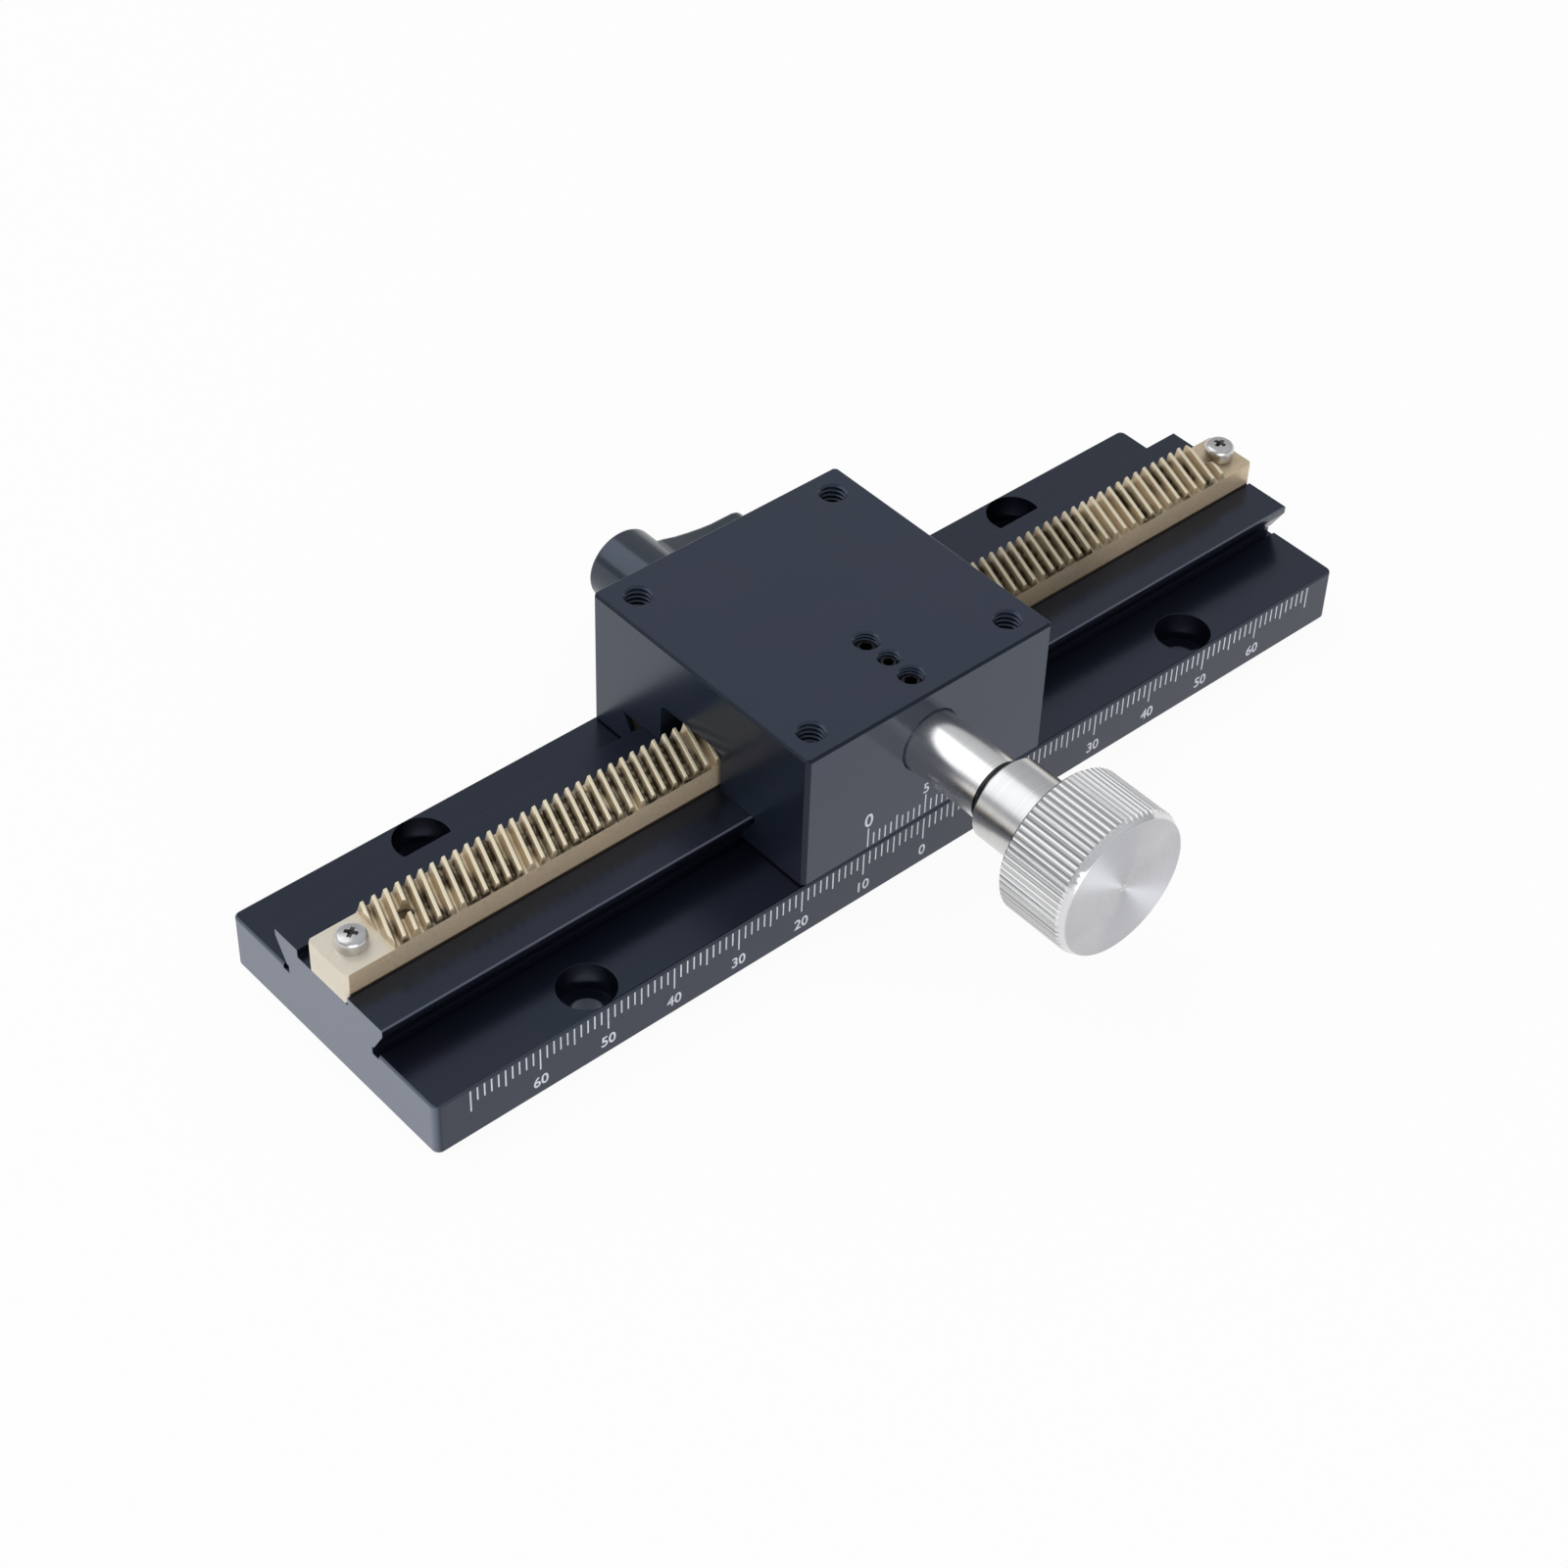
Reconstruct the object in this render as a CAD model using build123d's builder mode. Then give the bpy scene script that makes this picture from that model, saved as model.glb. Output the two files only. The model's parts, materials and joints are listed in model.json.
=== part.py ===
from build123d import *
from math import atan, ceil, cos, degrees, pi, radians, sin, sqrt, tan
import os

# Dovetail slide moved by a rack and pinion, in millimetres.
# X is the direction of travel, the knob and the scales face -Y and Z points up.
# The origin is the middle of the rail's underside.

# Rail; the carriage is just as wide, so that its vernier lies in one plane with the rail's scale
rail_length = 150.0
rail_width = 40.0
flange_height = 8.0
rail_corner_radius = 1.0
rail_edge_break = 0.25

# Dovetail along the rail, with a blunt land at the tip of each flank
dovetail_width = 21.0
dovetail_height = 5.0
dovetail_angle = 60.0
dovetail_land = 1.0
relief_width = 1.2
relief_depth = 0.6

# Counterbored bolt holes in the flanges, their distance from the rail's long edges being the inset
bolt_spacing = 100.0
bolt_inset = 4.0
bolt_hole_diameter = 4.5
counterbore_diameter = 7.4
counterbore_depth = 4.4

# Rack, seated in a groove in the top of the dovetail; heights are above the groove's floor
rack_width = 7.6
rack_seat_depth = 1.2
rack_land_height = 4.6
rack_tip_height = 5.9
rack_start_land = 7.0
rack_end_land = 5.4
rack_corner = 0.5
rack_spare_groove = 2.2

# Teeth of the rack and the pinion; addendum, dedendum and shift are in normal modules
normal_module = 0.5
normal_pressure_angle = 20.0
helix_angle = 20.0
addendum = 1.0
dedendum = 1.25
pinion_teeth = 13
profile_shift = 0.08
backlash = 0.06
pinion_width = 8.6
flank_steps = 3

# Rack screws and dowel pin
rack_screw_diameter = 2.5
rack_screw_length = 9.0
rack_screw_head_diameter = 4.0
rack_screw_head_height = 2.0
rack_screw_start_inset = 3.7
rack_screw_end_inset = 2.8
right_screw_lift = 0.5
cross_recess_width = 0.6
cross_recess_length = 2.3
cross_recess_depth = 1.1
dowel_diameter = 2.0
dowel_length = 6.0
dowel_inset = 11.3
dowel_recess = 0.3

# Carriage block
table_length = 40.0
table_height = 28.5
table_corner = 0.5
table_edge_break = 0.3
carriage_lift = 0.3
tip_relief = 0.5
channel_side_gap = 0.8
channel_roof_gap = 0.3
channel_corner = 1.0
table_thread_inset = 4.0
table_thread_minor = 3.3
table_thread_depth = 8.0
thread_mouth = 0.25

# Gib and its set screws
gib_thickness = 2.4
gib_slack = 0.05
gib_end_gap = 0.5
gib_edge_gap = 0.15
gib_screw_diameter = 3.0
gib_screw_length = 7.4
gib_screw_places = (7.5, 15.0)
gib_dimple_depth = 1.1

# Bushing that carries the pinion shaft, and the three screws above it
bushing_diameter = 8.5
bushing_reach = 12.4
bushing_overrun = 0.2
bushing_rim = 0.3
bushing_screw_diameter = 3.0
bushing_screw_length = 2.5
drag_screw_diameter = 2.5
drag_screw_length = 2.6
drag_plug_length = 1.9
first_top_screw = 4.0
top_screw_pitch = 4.0

# Shaft and its rear bush
shaft_diameter = 5.0
journal_diameter = 3.0
rear_bush_diameter = 5.0
rear_bush_length = 5.0
rear_bush_setback = 0.4

# Knob with its collar
washer_thickness = 0.4
end_play = 0.05
collar_diameter = 11.2
collar_length = 9.2
collar_edge_break = 0.4
knob_diameter = 20.0
knob_length = 10.6
knob_back_break = 0.3
knob_bevel_width = 0.55
knob_bevel_length = 1.2
knurl_count = 72
knurl_depth = 0.3
knurl_width = 0.48
knob_bore_floor = 4.0
knob_screw_diameter = 3.0
knob_screw_length = 2.6
shaft_flat_depth = 0.3
shaft_flat_length = 4.0

# Clamp lever
stud_diameter = 4.0
stud_collar_diameter = 8.0
stud_collar_length = 3.7
stud_collar_gap = 0.35
stud_hexagon = 6.0
stud_hexagon_length = 9.5
clamp_plug_length = 2.9
hub_diameter = 10.5
hub_end_reach = 19.5
hub_rim = 0.6
arm_reach = 18.5
arm_root_width = 9.4
arm_middle_reach = 6.7
arm_middle_width = 6.2
arm_tip_width = 4.0
arm_tip_length = 5.5
arm_root_thickness = 4.6
arm_tip_thickness = 2.8
arm_setback = 3.0
arm_lean = 0.2
arm_edge_radius = 0.7
lever_screw_diameter = 3.0
lever_screw_length = 8.5
lever_screw_head_diameter = 5.5
lever_screw_head_height = 1.8
lever_screw_pocket = 0.5
lever_screw_head_gap = 0.2
lever_screw_socket = 2.0

# Clearances
slide_gap = 0.05
seat_gap = 0.02
thread_gap = 0.05
shaft_gap = 0.05

# Small features of screws, pins and holes; shares are of a screw's diameter or its head's height
point_length = 2.2
point_radius = 0.4
short_point_length = 0.3
socket_share = 0.5
socket_depth = 1.0
rim_share = 0.1
head_round_share = 0.4
pin_edge_break = 0.2
hole_overrun = 0.5
overcut = 0.4

# Heights of the rail, the rack and the table
dovetail_top = flange_height + dovetail_height
land_start = dovetail_top - dovetail_land
rack_floor = dovetail_top - rack_seat_depth
rack_land = rack_floor + rack_land_height
rack_tip = rack_floor + rack_tip_height
carriage_bottom = flange_height + carriage_lift
table_front = -rail_width / 2
table_back = rail_width / 2

# Flanks of the dovetail
flank_slope = tan(radians(dovetail_angle))
neck_half_width = dovetail_width / 2 - (dovetail_height - dovetail_land) / flank_slope

# Gear geometry in the plane square to the shaft
helix_slope = tan(radians(helix_angle))
transverse_pressure = atan(tan(radians(normal_pressure_angle)) / cos(radians(helix_angle)))
transverse_pitch = pi * normal_module / cos(radians(helix_angle))
pitch_radius = pinion_teeth * transverse_pitch / (2 * pi)
base_radius = pitch_radius * cos(transverse_pressure)
tip_radius = pitch_radius + (addendum + profile_shift) * normal_module
root_radius = pitch_radius - (dedendum - profile_shift) * normal_module
foot_radius = root_radius - normal_module
rack_datum = rack_tip - addendum * normal_module
rack_root = rack_datum - dedendum * normal_module
rack_screw_places = (rack_screw_start_inset - rail_length / 2, rail_length / 2 - rack_screw_end_inset)
pinion_height = rack_datum + pitch_radius + profile_shift * normal_module

# Channel over the rack, tall enough for the rack screws to pass under the carriage
channel_top = rack_land + right_screw_lift + rack_screw_head_height + channel_roof_gap
channel_front = -(rack_width / 2 + channel_side_gap)
channel_back = rack_width / 2 + rack_spare_groove + channel_side_gap

# Places along the shaft
bushing_outer_end = table_front - bushing_reach
bushing_inner_end = channel_front + bushing_overrun
pinion_front = bushing_inner_end + end_play
pinion_back = pinion_front + pinion_width
rear_bush_front = channel_back + rear_bush_setback
rear_bush_back = rear_bush_front + rear_bush_length
collar_start = bushing_outer_end - washer_thickness - 2 * end_play
knob_back = collar_start - collar_length
knob_front = knob_back - knob_length
shaft_front = knob_front + knob_bore_floor
bushing_bore_radius = bushing_diameter / 2 + seat_gap
top_screw_places = [table_front + first_top_screw + i * top_screw_pitch for i in range(3)]

# Places along the clamp stud, which lies halfway up the dovetail
clamp_height = flange_height + dovetail_height / 2
stud_collar_start = table_back + stud_collar_gap
hub_start = stud_collar_start + stud_collar_length + seat_gap
hub_end = table_back + hub_end_reach
hexagon_start = hub_start - seat_gap
hexagon_end = hexagon_start + stud_hexagon_length
screw_pocket_floor = hub_end - lever_screw_head_height - lever_screw_pocket
lever_screw_seat = screw_pocket_floor + seat_gap
lever_screw_tip = lever_screw_seat - lever_screw_length


def facing_back(x, y, z):
    """Plane at this point whose normal is +Y."""
    return Plane(origin=(x, y, z), x_dir=(1, 0, 0), z_dir=(0, 1, 0))


def facing_front(x, y, z):
    """Plane at this point whose normal is -Y, with its own Y upwards."""
    return Plane(origin=(x, y, z), x_dir=(1, 0, 0), z_dir=(0, -1, 0))


def flank_y(height, offset=0.0):
    """Distance of a flank from the middle at this height, moved outwards square to the flank."""
    rise = height - flange_height
    return neck_half_width + rise / flank_slope + offset / sin(radians(dovetail_angle))


def set_screw(diameter, length, end_radius, end_length):
    """Headless screw from the origin up, point down, with a hexagon socket in its top."""
    radius = diameter / 2
    rim = rim_share * diameter
    with BuildPart() as screw:
        with BuildSketch(Plane.XZ):
            with BuildLine():
                Polyline(
                    (0, 0), (end_radius, 0), (radius, end_length), (radius, length - rim),
                    (radius - rim, length), (0, length), close=True,
                )
            make_face()
        revolve(axis=Axis.Z)
        with BuildSketch(Plane.XY.offset(length)):
            RegularPolygon(radius=socket_share * diameter / 2, side_count=6, major_radius=False)
        extrude(amount=-socket_depth, mode=Mode.SUBTRACT)
    return screw.part


def pan_screw(diameter, length, head_diameter, head_height):
    """Screw whose round-shouldered head sits on the origin, its shank pointing down."""
    radius = diameter / 2
    head_radius = head_diameter / 2
    rim = rim_share * diameter
    with BuildPart() as screw:
        with BuildSketch(Plane.XZ) as outline:
            with BuildLine():
                Polyline(
                    (0, head_height), (0, -length), (radius - rim, -length), (radius, rim - length),
                    (radius, 0), (head_radius, 0), (head_radius, head_height), close=True,
                )
            make_face()
            shoulder = outline.vertices().group_by(Axis.X)[-1].sort_by(Axis.Y)[-1]
            fillet(shoulder, head_round_share * head_height)
        revolve(axis=Axis.Z)
    return screw.part


# Rail: flanges, dovetail, relief grooves, rack groove and holes
with BuildPart() as base_rail:
    with BuildSketch():
        RectangleRounded(rail_length, rail_width, rail_corner_radius)
    extrude(amount=flange_height)
    chamfer(base_rail.faces().sort_by(Axis.Z)[-1].edges(), rail_edge_break)
    chamfer(base_rail.faces().sort_by(Axis.Z)[0].edges(), rail_edge_break)
    with BuildSketch(Plane.YZ):
        with BuildLine():
            Polyline(
                (-neck_half_width, flange_height - relief_depth),
                (-neck_half_width, flange_height),
                (-dovetail_width / 2, land_start),
                (-dovetail_width / 2, dovetail_top),
                (dovetail_width / 2, dovetail_top),
                (dovetail_width / 2, land_start),
                (neck_half_width, flange_height),
                (neck_half_width, flange_height - relief_depth),
                close=True,
            )
        make_face()
    extrude(amount=rail_length / 2, both=True)
    with BuildSketch(Plane.YZ):
        for side in (-1, 1):
            with Locations((side * (neck_half_width + relief_width / 2), flange_height)):
                Rectangle(relief_width, 2 * relief_depth)
    extrude(amount=rail_length / 2, both=True, mode=Mode.SUBTRACT)
    with BuildSketch(Plane.YZ):
        with Locations((rack_spare_groove / 2, dovetail_top)):
            Rectangle(rack_width + rack_spare_groove + 2 * seat_gap, 2 * rack_seat_depth)
    extrude(amount=rail_length / 2, both=True, mode=Mode.SUBTRACT)
    with Locations((0, 0, flange_height)):
        with GridLocations(bolt_spacing, rail_width - 2 * bolt_inset, 2, 2):
            CounterBoreHole(bolt_hole_diameter / 2, counterbore_diameter / 2, counterbore_depth)
    with Locations((0, 0, rack_floor)):
        with Locations(*[(x, 0) for x in rack_screw_places]):
            Hole(
                rack_screw_diameter / 2 + thread_gap,
                rack_screw_length - rack_land_height + hole_overrun,
            )
        with Locations((dowel_inset - rail_length / 2, 0)):
            Hole(
                dowel_diameter / 2 + seat_gap,
                dowel_length - (rack_root - dowel_recess - rack_floor) + seat_gap,
            )
base_rail.part.label = "base_rail"

# Rack: bar with a tooth centred on the middle, gaps cut along the helix and end lands cut square
helix_reach = helix_slope * rack_width / 2
gaps_before = ceil((rail_length / 2 - rack_start_land + helix_reach) / transverse_pitch)
gaps_after = ceil((rail_length / 2 - rack_end_land + helix_reach) / transverse_pitch)
gap_at_datum = transverse_pitch / 2
flank_spread = tan(transverse_pressure)
gap_top = rack_tip + overcut
gap_top_half = gap_at_datum / 2 + (gap_top - rack_datum) * flank_spread
gap_root_half = gap_at_datum / 2 - (rack_datum - rack_root) * flank_spread

with BuildPart() as rack:
    with BuildSketch(Plane.XY.offset(rack_floor)):
        Rectangle(rail_length, rack_width)
    extrude(amount=rack_tip_height)
    chamfer(rack.edges().filter_by(Axis.Z), rack_corner)
    with BuildSketch(Plane.XZ):
        with Locations(*[((i + 0.5) * transverse_pitch, 0) for i in range(-gaps_before, gaps_after)]):
            Polygon(
                (-gap_root_half, rack_root), (gap_root_half, rack_root),
                (gap_top_half, gap_top), (-gap_top_half, gap_top), align=None,
            )
    extrude(
        amount=rack_width / cos(radians(helix_angle)), dir=(helix_slope, 1, 0), both=True,
        mode=Mode.SUBTRACT,
    )
    with BuildSketch(Plane.XY.offset(rack_land)):
        for side, land in ((-1, rack_start_land), (1, rack_end_land)):
            with Locations((side * rail_length / 2, 0)):
                Rectangle(2 * land, 2 * rack_width)
    extrude(amount=gap_top - rack_land, mode=Mode.SUBTRACT)
    with Locations((0, 0, rack_land)):
        with Locations(*[(x, 0) for x in rack_screw_places]):
            Hole(rack_screw_diameter / 2 + thread_gap)
        with Locations((dowel_inset - rail_length / 2, 0)):
            Hole(dowel_diameter / 2 + seat_gap)
rack.part.label = "rack"

# Cross-recess screws at the rack's ends; the right one isn't driven all the way down
with BuildPart() as rack_screw:
    add(pan_screw(rack_screw_diameter, rack_screw_length, rack_screw_head_diameter, rack_screw_head_height))
    with BuildSketch(Plane.XY.offset(rack_screw_head_height)):
        Rectangle(cross_recess_length, cross_recess_width)
        Rectangle(cross_recess_width, cross_recess_length)
    extrude(amount=-cross_recess_depth, mode=Mode.SUBTRACT)

with BuildPart() as rack_screws:
    with Locations(
        Location((rack_screw_places[0], 0, rack_land), (0, 0, 35)),
        Location((rack_screw_places[1], 0, rack_land + right_screw_lift), (0, 0, 10)),
    ):
        add(rack_screw.part)
rack_screws.part.label = "rack_screws"

with BuildPart() as rack_dowel_pin:
    dowel_top = rack_root - dowel_recess
    with BuildSketch(Plane.XY.offset(dowel_top)):
        with Locations((dowel_inset - rail_length / 2, 0)):
            Circle(dowel_diameter / 2)
    extrude(amount=-dowel_length)
    chamfer(rack_dowel_pin.edges().filter_by(GeomType.CIRCLE), pin_edge_break)
rack_dowel_pin.part.label = "rack_dowel_pin"

# Carriage block: dovetail socket, channel over the rack, bores and tapped holes
wall_offset = slide_gap + gib_thickness + gib_slack
socket_roof = dovetail_top + slide_gap
below_block = carriage_bottom - overcut

with BuildPart() as carriage_block:
    with BuildSketch(Plane.XY.offset(carriage_bottom)):
        Rectangle(table_length, rail_width)
    extrude(amount=table_height - carriage_bottom)
    chamfer(carriage_block.edges().filter_by(Axis.Z), table_corner)
    chamfer(carriage_block.faces().sort_by(Axis.Z)[-1].edges(), table_edge_break)
    with BuildSketch(Plane.YZ):
        with BuildLine():
            Polyline(
                (-flank_y(below_block, slide_gap), below_block),
                (-flank_y(land_start, slide_gap), land_start),
                (-(dovetail_width / 2 + tip_relief), land_start),
                (-(dovetail_width / 2 + tip_relief), socket_roof),
                (flank_y(socket_roof, wall_offset), socket_roof),
                (flank_y(below_block, wall_offset), below_block),
                close=True,
            )
        make_face()
    extrude(amount=table_length / 2, both=True, mode=Mode.SUBTRACT)
    with BuildSketch(Plane.YZ) as channel:
        with Locations(((channel_front + channel_back) / 2, channel_top)):
            Rectangle(
                channel_back - channel_front, channel_top - dovetail_top, align=(Align.CENTER, Align.MAX)
            )
        fillet(channel.vertices().group_by(Axis.Y)[-1], channel_corner)
    extrude(amount=table_length / 2, both=True, mode=Mode.SUBTRACT)
    with Locations(facing_front(0, table_front, pinion_height)):
        CounterSinkHole(
            bushing_bore_radius, bushing_bore_radius + thread_mouth,
            pinion_back + hole_overrun - table_front, 90,
        )
    with Locations(facing_front(0, pinion_back, pinion_height)):
        Hole(rear_bush_diameter / 2 + seat_gap, rear_bush_back - pinion_back + seat_gap)
    with Locations((0, 0, table_height)):
        with GridLocations(table_length - 2 * table_thread_inset, rail_width - 2 * table_thread_inset, 2, 2):
            CounterSinkHole(
                table_thread_minor / 2, table_thread_minor / 2 + thread_mouth, table_thread_depth, 90
            )
        for place, diameter in zip(
            top_screw_places, (bushing_screw_diameter, drag_screw_diameter, bushing_screw_diameter)
        ):
            with Locations((0, place)):
                CounterSinkHole(
                    diameter / 2 + thread_gap, diameter / 2 + thread_gap + thread_mouth,
                    table_height - pinion_height, 90,
                )
    with Locations(*[
        facing_back(side * place, table_back, clamp_height) for side in (-1, 1) for place in gib_screw_places
    ]):
        Hole(gib_screw_diameter / 2 + thread_gap, table_back - neck_half_width - gib_thickness)
    with Locations(facing_back(0, table_back, clamp_height)):
        Hole(stud_diameter / 2 + shaft_gap, table_back - neck_half_width - gib_thickness)
carriage_block.part.label = "carriage_block"

# Gib: parallelogram bar behind the dovetail's back flank, with a dimple for each set screw
gib_bottom = carriage_bottom + gib_edge_gap
gib_top = socket_roof - gib_edge_gap
gib_back = slide_gap + gib_thickness
gib_tip_y = flank_y(clamp_height, gib_back) - gib_dimple_depth

with BuildPart() as gib:
    with BuildSketch(Plane.YZ):
        with BuildLine():
            Polyline(
                (flank_y(gib_bottom, slide_gap), gib_bottom),
                (flank_y(gib_bottom, gib_back), gib_bottom),
                (flank_y(gib_top, gib_back), gib_top),
                (flank_y(gib_top, slide_gap), gib_top),
                close=True,
            )
        make_face()
    extrude(amount=table_length / 2 - gib_end_gap, both=True)
    with Locations(*[
        facing_back(side * place, gib_tip_y - seat_gap, clamp_height)
        for side in (-1, 1) for place in gib_screw_places
    ]):
        Cone(
            point_radius + thread_gap, gib_screw_diameter / 2 + thread_gap, point_length,
            align=(Align.CENTER, Align.CENTER, Align.MIN), mode=Mode.SUBTRACT,
        )
gib.part.label = "gib"

with BuildPart() as gib_screws:
    with Locations(*[
        facing_back(side * place, gib_tip_y, clamp_height) for side in (-1, 1) for place in gib_screw_places
    ]):
        add(set_screw(gib_screw_diameter, gib_screw_length, point_radius, point_length))
gib_screws.part.label = "gib_screws"

# Clamp plug: its slanted end lies on the gib
plug_back = flank_y(clamp_height, gib_back + seat_gap) + clamp_plug_length
with BuildPart() as clamp_plug:
    with BuildSketch(facing_front(0, plug_back, clamp_height)):
        Circle(stud_diameter / 2)
    extrude(amount=2 * clamp_plug_length)
    split(
        bisect_by=Plane(
            origin=(0, flank_y(clamp_height, gib_back + seat_gap), clamp_height),
            z_dir=(0, sin(radians(dovetail_angle)), -cos(radians(dovetail_angle))),
        ),
        keep=Keep.TOP,
    )
clamp_plug.part.label = "clamp_plug"

# Bushing, its two set screws, and the screw and plug that drag on the shaft
with BuildPart() as pinion_bushing:
    with BuildSketch(facing_back(0, bushing_outer_end, pinion_height)):
        Circle(bushing_diameter / 2)
    extrude(amount=bushing_inner_end - bushing_outer_end)
    chamfer(pinion_bushing.edges().filter_by(GeomType.CIRCLE), bushing_rim)
    with Locations(facing_back(0, bushing_inner_end, pinion_height)):
        Hole(shaft_diameter / 2 + shaft_gap)
    with Locations((0, top_screw_places[1], pinion_height + bushing_diameter / 2)):
        Hole(drag_screw_diameter / 2 + thread_gap, bushing_diameter / 2)
pinion_bushing.part.label = "pinion_bushing"

with BuildPart() as bushing_set_screws:
    with Locations(*[
        (0, place, pinion_height + bushing_diameter / 2 + seat_gap)
        for place in (top_screw_places[0], top_screw_places[2])
    ]):
        add(set_screw(
            bushing_screw_diameter, bushing_screw_length,
            bushing_screw_diameter / 2 - short_point_length, short_point_length,
        ))
bushing_set_screws.part.label = "bushing_set_screws"

drag_plug_bottom = pinion_height + shaft_diameter / 2 + shaft_gap
with BuildPart() as drag_plug:
    with BuildSketch(Plane.XY.offset(drag_plug_bottom)):
        with Locations((0, top_screw_places[1])):
            Circle(drag_screw_diameter / 2)
    extrude(amount=drag_plug_length)
drag_plug.part.label = "drag_plug"

with BuildPart() as drag_screw:
    with Locations((0, top_screw_places[1], drag_plug_bottom + drag_plug_length + seat_gap)):
        add(set_screw(
            drag_screw_diameter, drag_screw_length,
            drag_screw_diameter / 2 - short_point_length, short_point_length,
        ))
drag_screw.part.label = "drag_screw"

with BuildPart() as rear_bush:
    with BuildSketch(facing_back(0, rear_bush_front, pinion_height)):
        Circle(rear_bush_diameter / 2)
        Circle(journal_diameter / 2 + shaft_gap, mode=Mode.SUBTRACT)
    extrude(amount=rear_bush_length)
rear_bush.part.label = "rear_bush"

# One pinion tooth: involute flanks above the base circle, straight down to the root
flank_angle = (transverse_pitch / 2 + 2 * profile_shift * normal_module * flank_spread - backlash) / (
    2 * pitch_radius
)
base_half_angle = flank_angle + tan(transverse_pressure) - transverse_pressure


def involute_point(radius):
    """Point of a tooth's right flank at this radius, for a tooth along +Y."""
    roll = sqrt(max((radius / base_radius) ** 2 - 1, 0))
    angle = base_half_angle - roll + atan(roll)
    return (radius * sin(angle), radius * cos(angle))


flank_step = (tip_radius - base_radius) / flank_steps
flank_points = [involute_point(base_radius + i * flank_step) for i in range(flank_steps + 1)]
with BuildSketch() as tooth:
    with BuildLine():
        flank = Spline(*flank_points)
        root_line = Line(
            flank @ 0, (foot_radius * sin(base_half_angle), foot_radius * cos(base_half_angle))
        )
        mirror(about=Plane.YZ)
        ThreePointArc(flank @ 1, (0, tip_radius), (-(flank @ 1).X, (flank @ 1).Y))
        Line(root_line @ 1, (-(root_line @ 1).X, (root_line @ 1).Y))
    make_face()

# The pinion's front end is turned back by the helix, so that a gap points down at the middle
helix_turn = degrees(helix_slope / pitch_radius)
with BuildSketch(facing_back(0, pinion_front, pinion_height)) as pinion_section:
    Circle(root_radius)
    with PolarLocations(0, pinion_teeth, start_angle=180 / pinion_teeth - pinion_front * helix_turn):
        add(tooth.sketch)

# Shaft with the pinion cut on it, a rear journal and a flat for the knob's set screw
with BuildPart() as pinion_shaft:
    add(Solid.extrude_linear_with_rotation(
        pinion_section.sketch.faces()[0], (0, pinion_front, pinion_height), (0, pinion_width, 0),
        -pinion_width * helix_turn,
    ))
    with BuildSketch(facing_front(0, pinion_front, pinion_height)):
        Circle(shaft_diameter / 2)
    extrude(amount=pinion_front - shaft_front)
    with BuildSketch(facing_back(0, pinion_back, pinion_height)):
        Circle(journal_diameter / 2)
    extrude(amount=rear_bush_back - pinion_back)
    knob_screw_y = collar_start - collar_length / 2
    with BuildSketch(Plane.XY.offset(pinion_height - shaft_diameter / 2)):
        with Locations((0, knob_screw_y)):
            Rectangle(shaft_diameter, shaft_flat_length)
    extrude(amount=shaft_flat_depth, mode=Mode.SUBTRACT)
pinion_shaft.part.label = "pinion_shaft"

with BuildPart() as thrust_washer:
    with BuildSketch(facing_front(0, bushing_outer_end - end_play, pinion_height)):
        Circle(bushing_diameter / 2)
        Circle(shaft_diameter / 2 + shaft_gap, mode=Mode.SUBTRACT)
    extrude(amount=washer_thickness)
thrust_washer.part.label = "thrust_washer"

# Knob: knurled blank turned to its bevels, with a collar and a blind bore
knob_radius = knob_diameter / 2
with BuildPart() as knob:
    with BuildSketch(facing_front(0, knob_back, pinion_height)):
        Circle(knob_radius)
        with PolarLocations(knob_radius, knurl_count):
            Polygon(
                (-knurl_depth, 0), (knurl_depth, knurl_width), (knurl_depth, -knurl_width),
                align=None, mode=Mode.SUBTRACT,
            )
    extrude(amount=knob_length)
    with BuildSketch(Plane(origin=(0, 0, pinion_height), x_dir=(0, -1, 0), z_dir=(1, 0, 0))):
        with BuildLine():
            Polyline(
                (-knob_back, 0), (-knob_back, knob_radius - knob_back_break),
                (-knob_back + knob_back_break, knob_radius),
                (-knob_front - knob_bevel_length, knob_radius),
                (-knob_front, knob_radius - knob_bevel_width), (-knob_front, 0), close=True,
            )
        make_face()
    revolve(axis=Axis((0, 0, pinion_height), (0, 1, 0)), mode=Mode.INTERSECT)
    with BuildSketch(facing_front(0, collar_start, pinion_height)):
        Circle(collar_diameter / 2)
    extrude(amount=collar_length)
    chamfer(
        knob.faces().sort_by(Axis.Y)[-1].edges().filter_by(GeomType.CIRCLE), collar_edge_break
    )
    with Locations(facing_back(0, collar_start, pinion_height)):
        Hole(shaft_diameter / 2 + seat_gap, collar_start - shaft_front + seat_gap)
    with Locations(Plane(
        origin=(0, knob_screw_y, pinion_height - collar_diameter / 2), x_dir=(1, 0, 0), z_dir=(0, 0, -1)
    )):
        Hole(knob_screw_diameter / 2 + thread_gap, collar_diameter / 2)
knob.part.label = "knob"

with BuildPart() as knob_set_screw:
    with Locations(Plane(
        origin=(0, knob_screw_y, pinion_height - shaft_diameter / 2 + shaft_flat_depth - seat_gap),
        x_dir=(1, 0, 0), z_dir=(0, 0, -1),
    )):
        add(set_screw(
            knob_screw_diameter, knob_screw_length,
            knob_screw_diameter / 2 - short_point_length, short_point_length,
        ))
knob_set_screw.part.label = "knob_set_screw"

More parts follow.
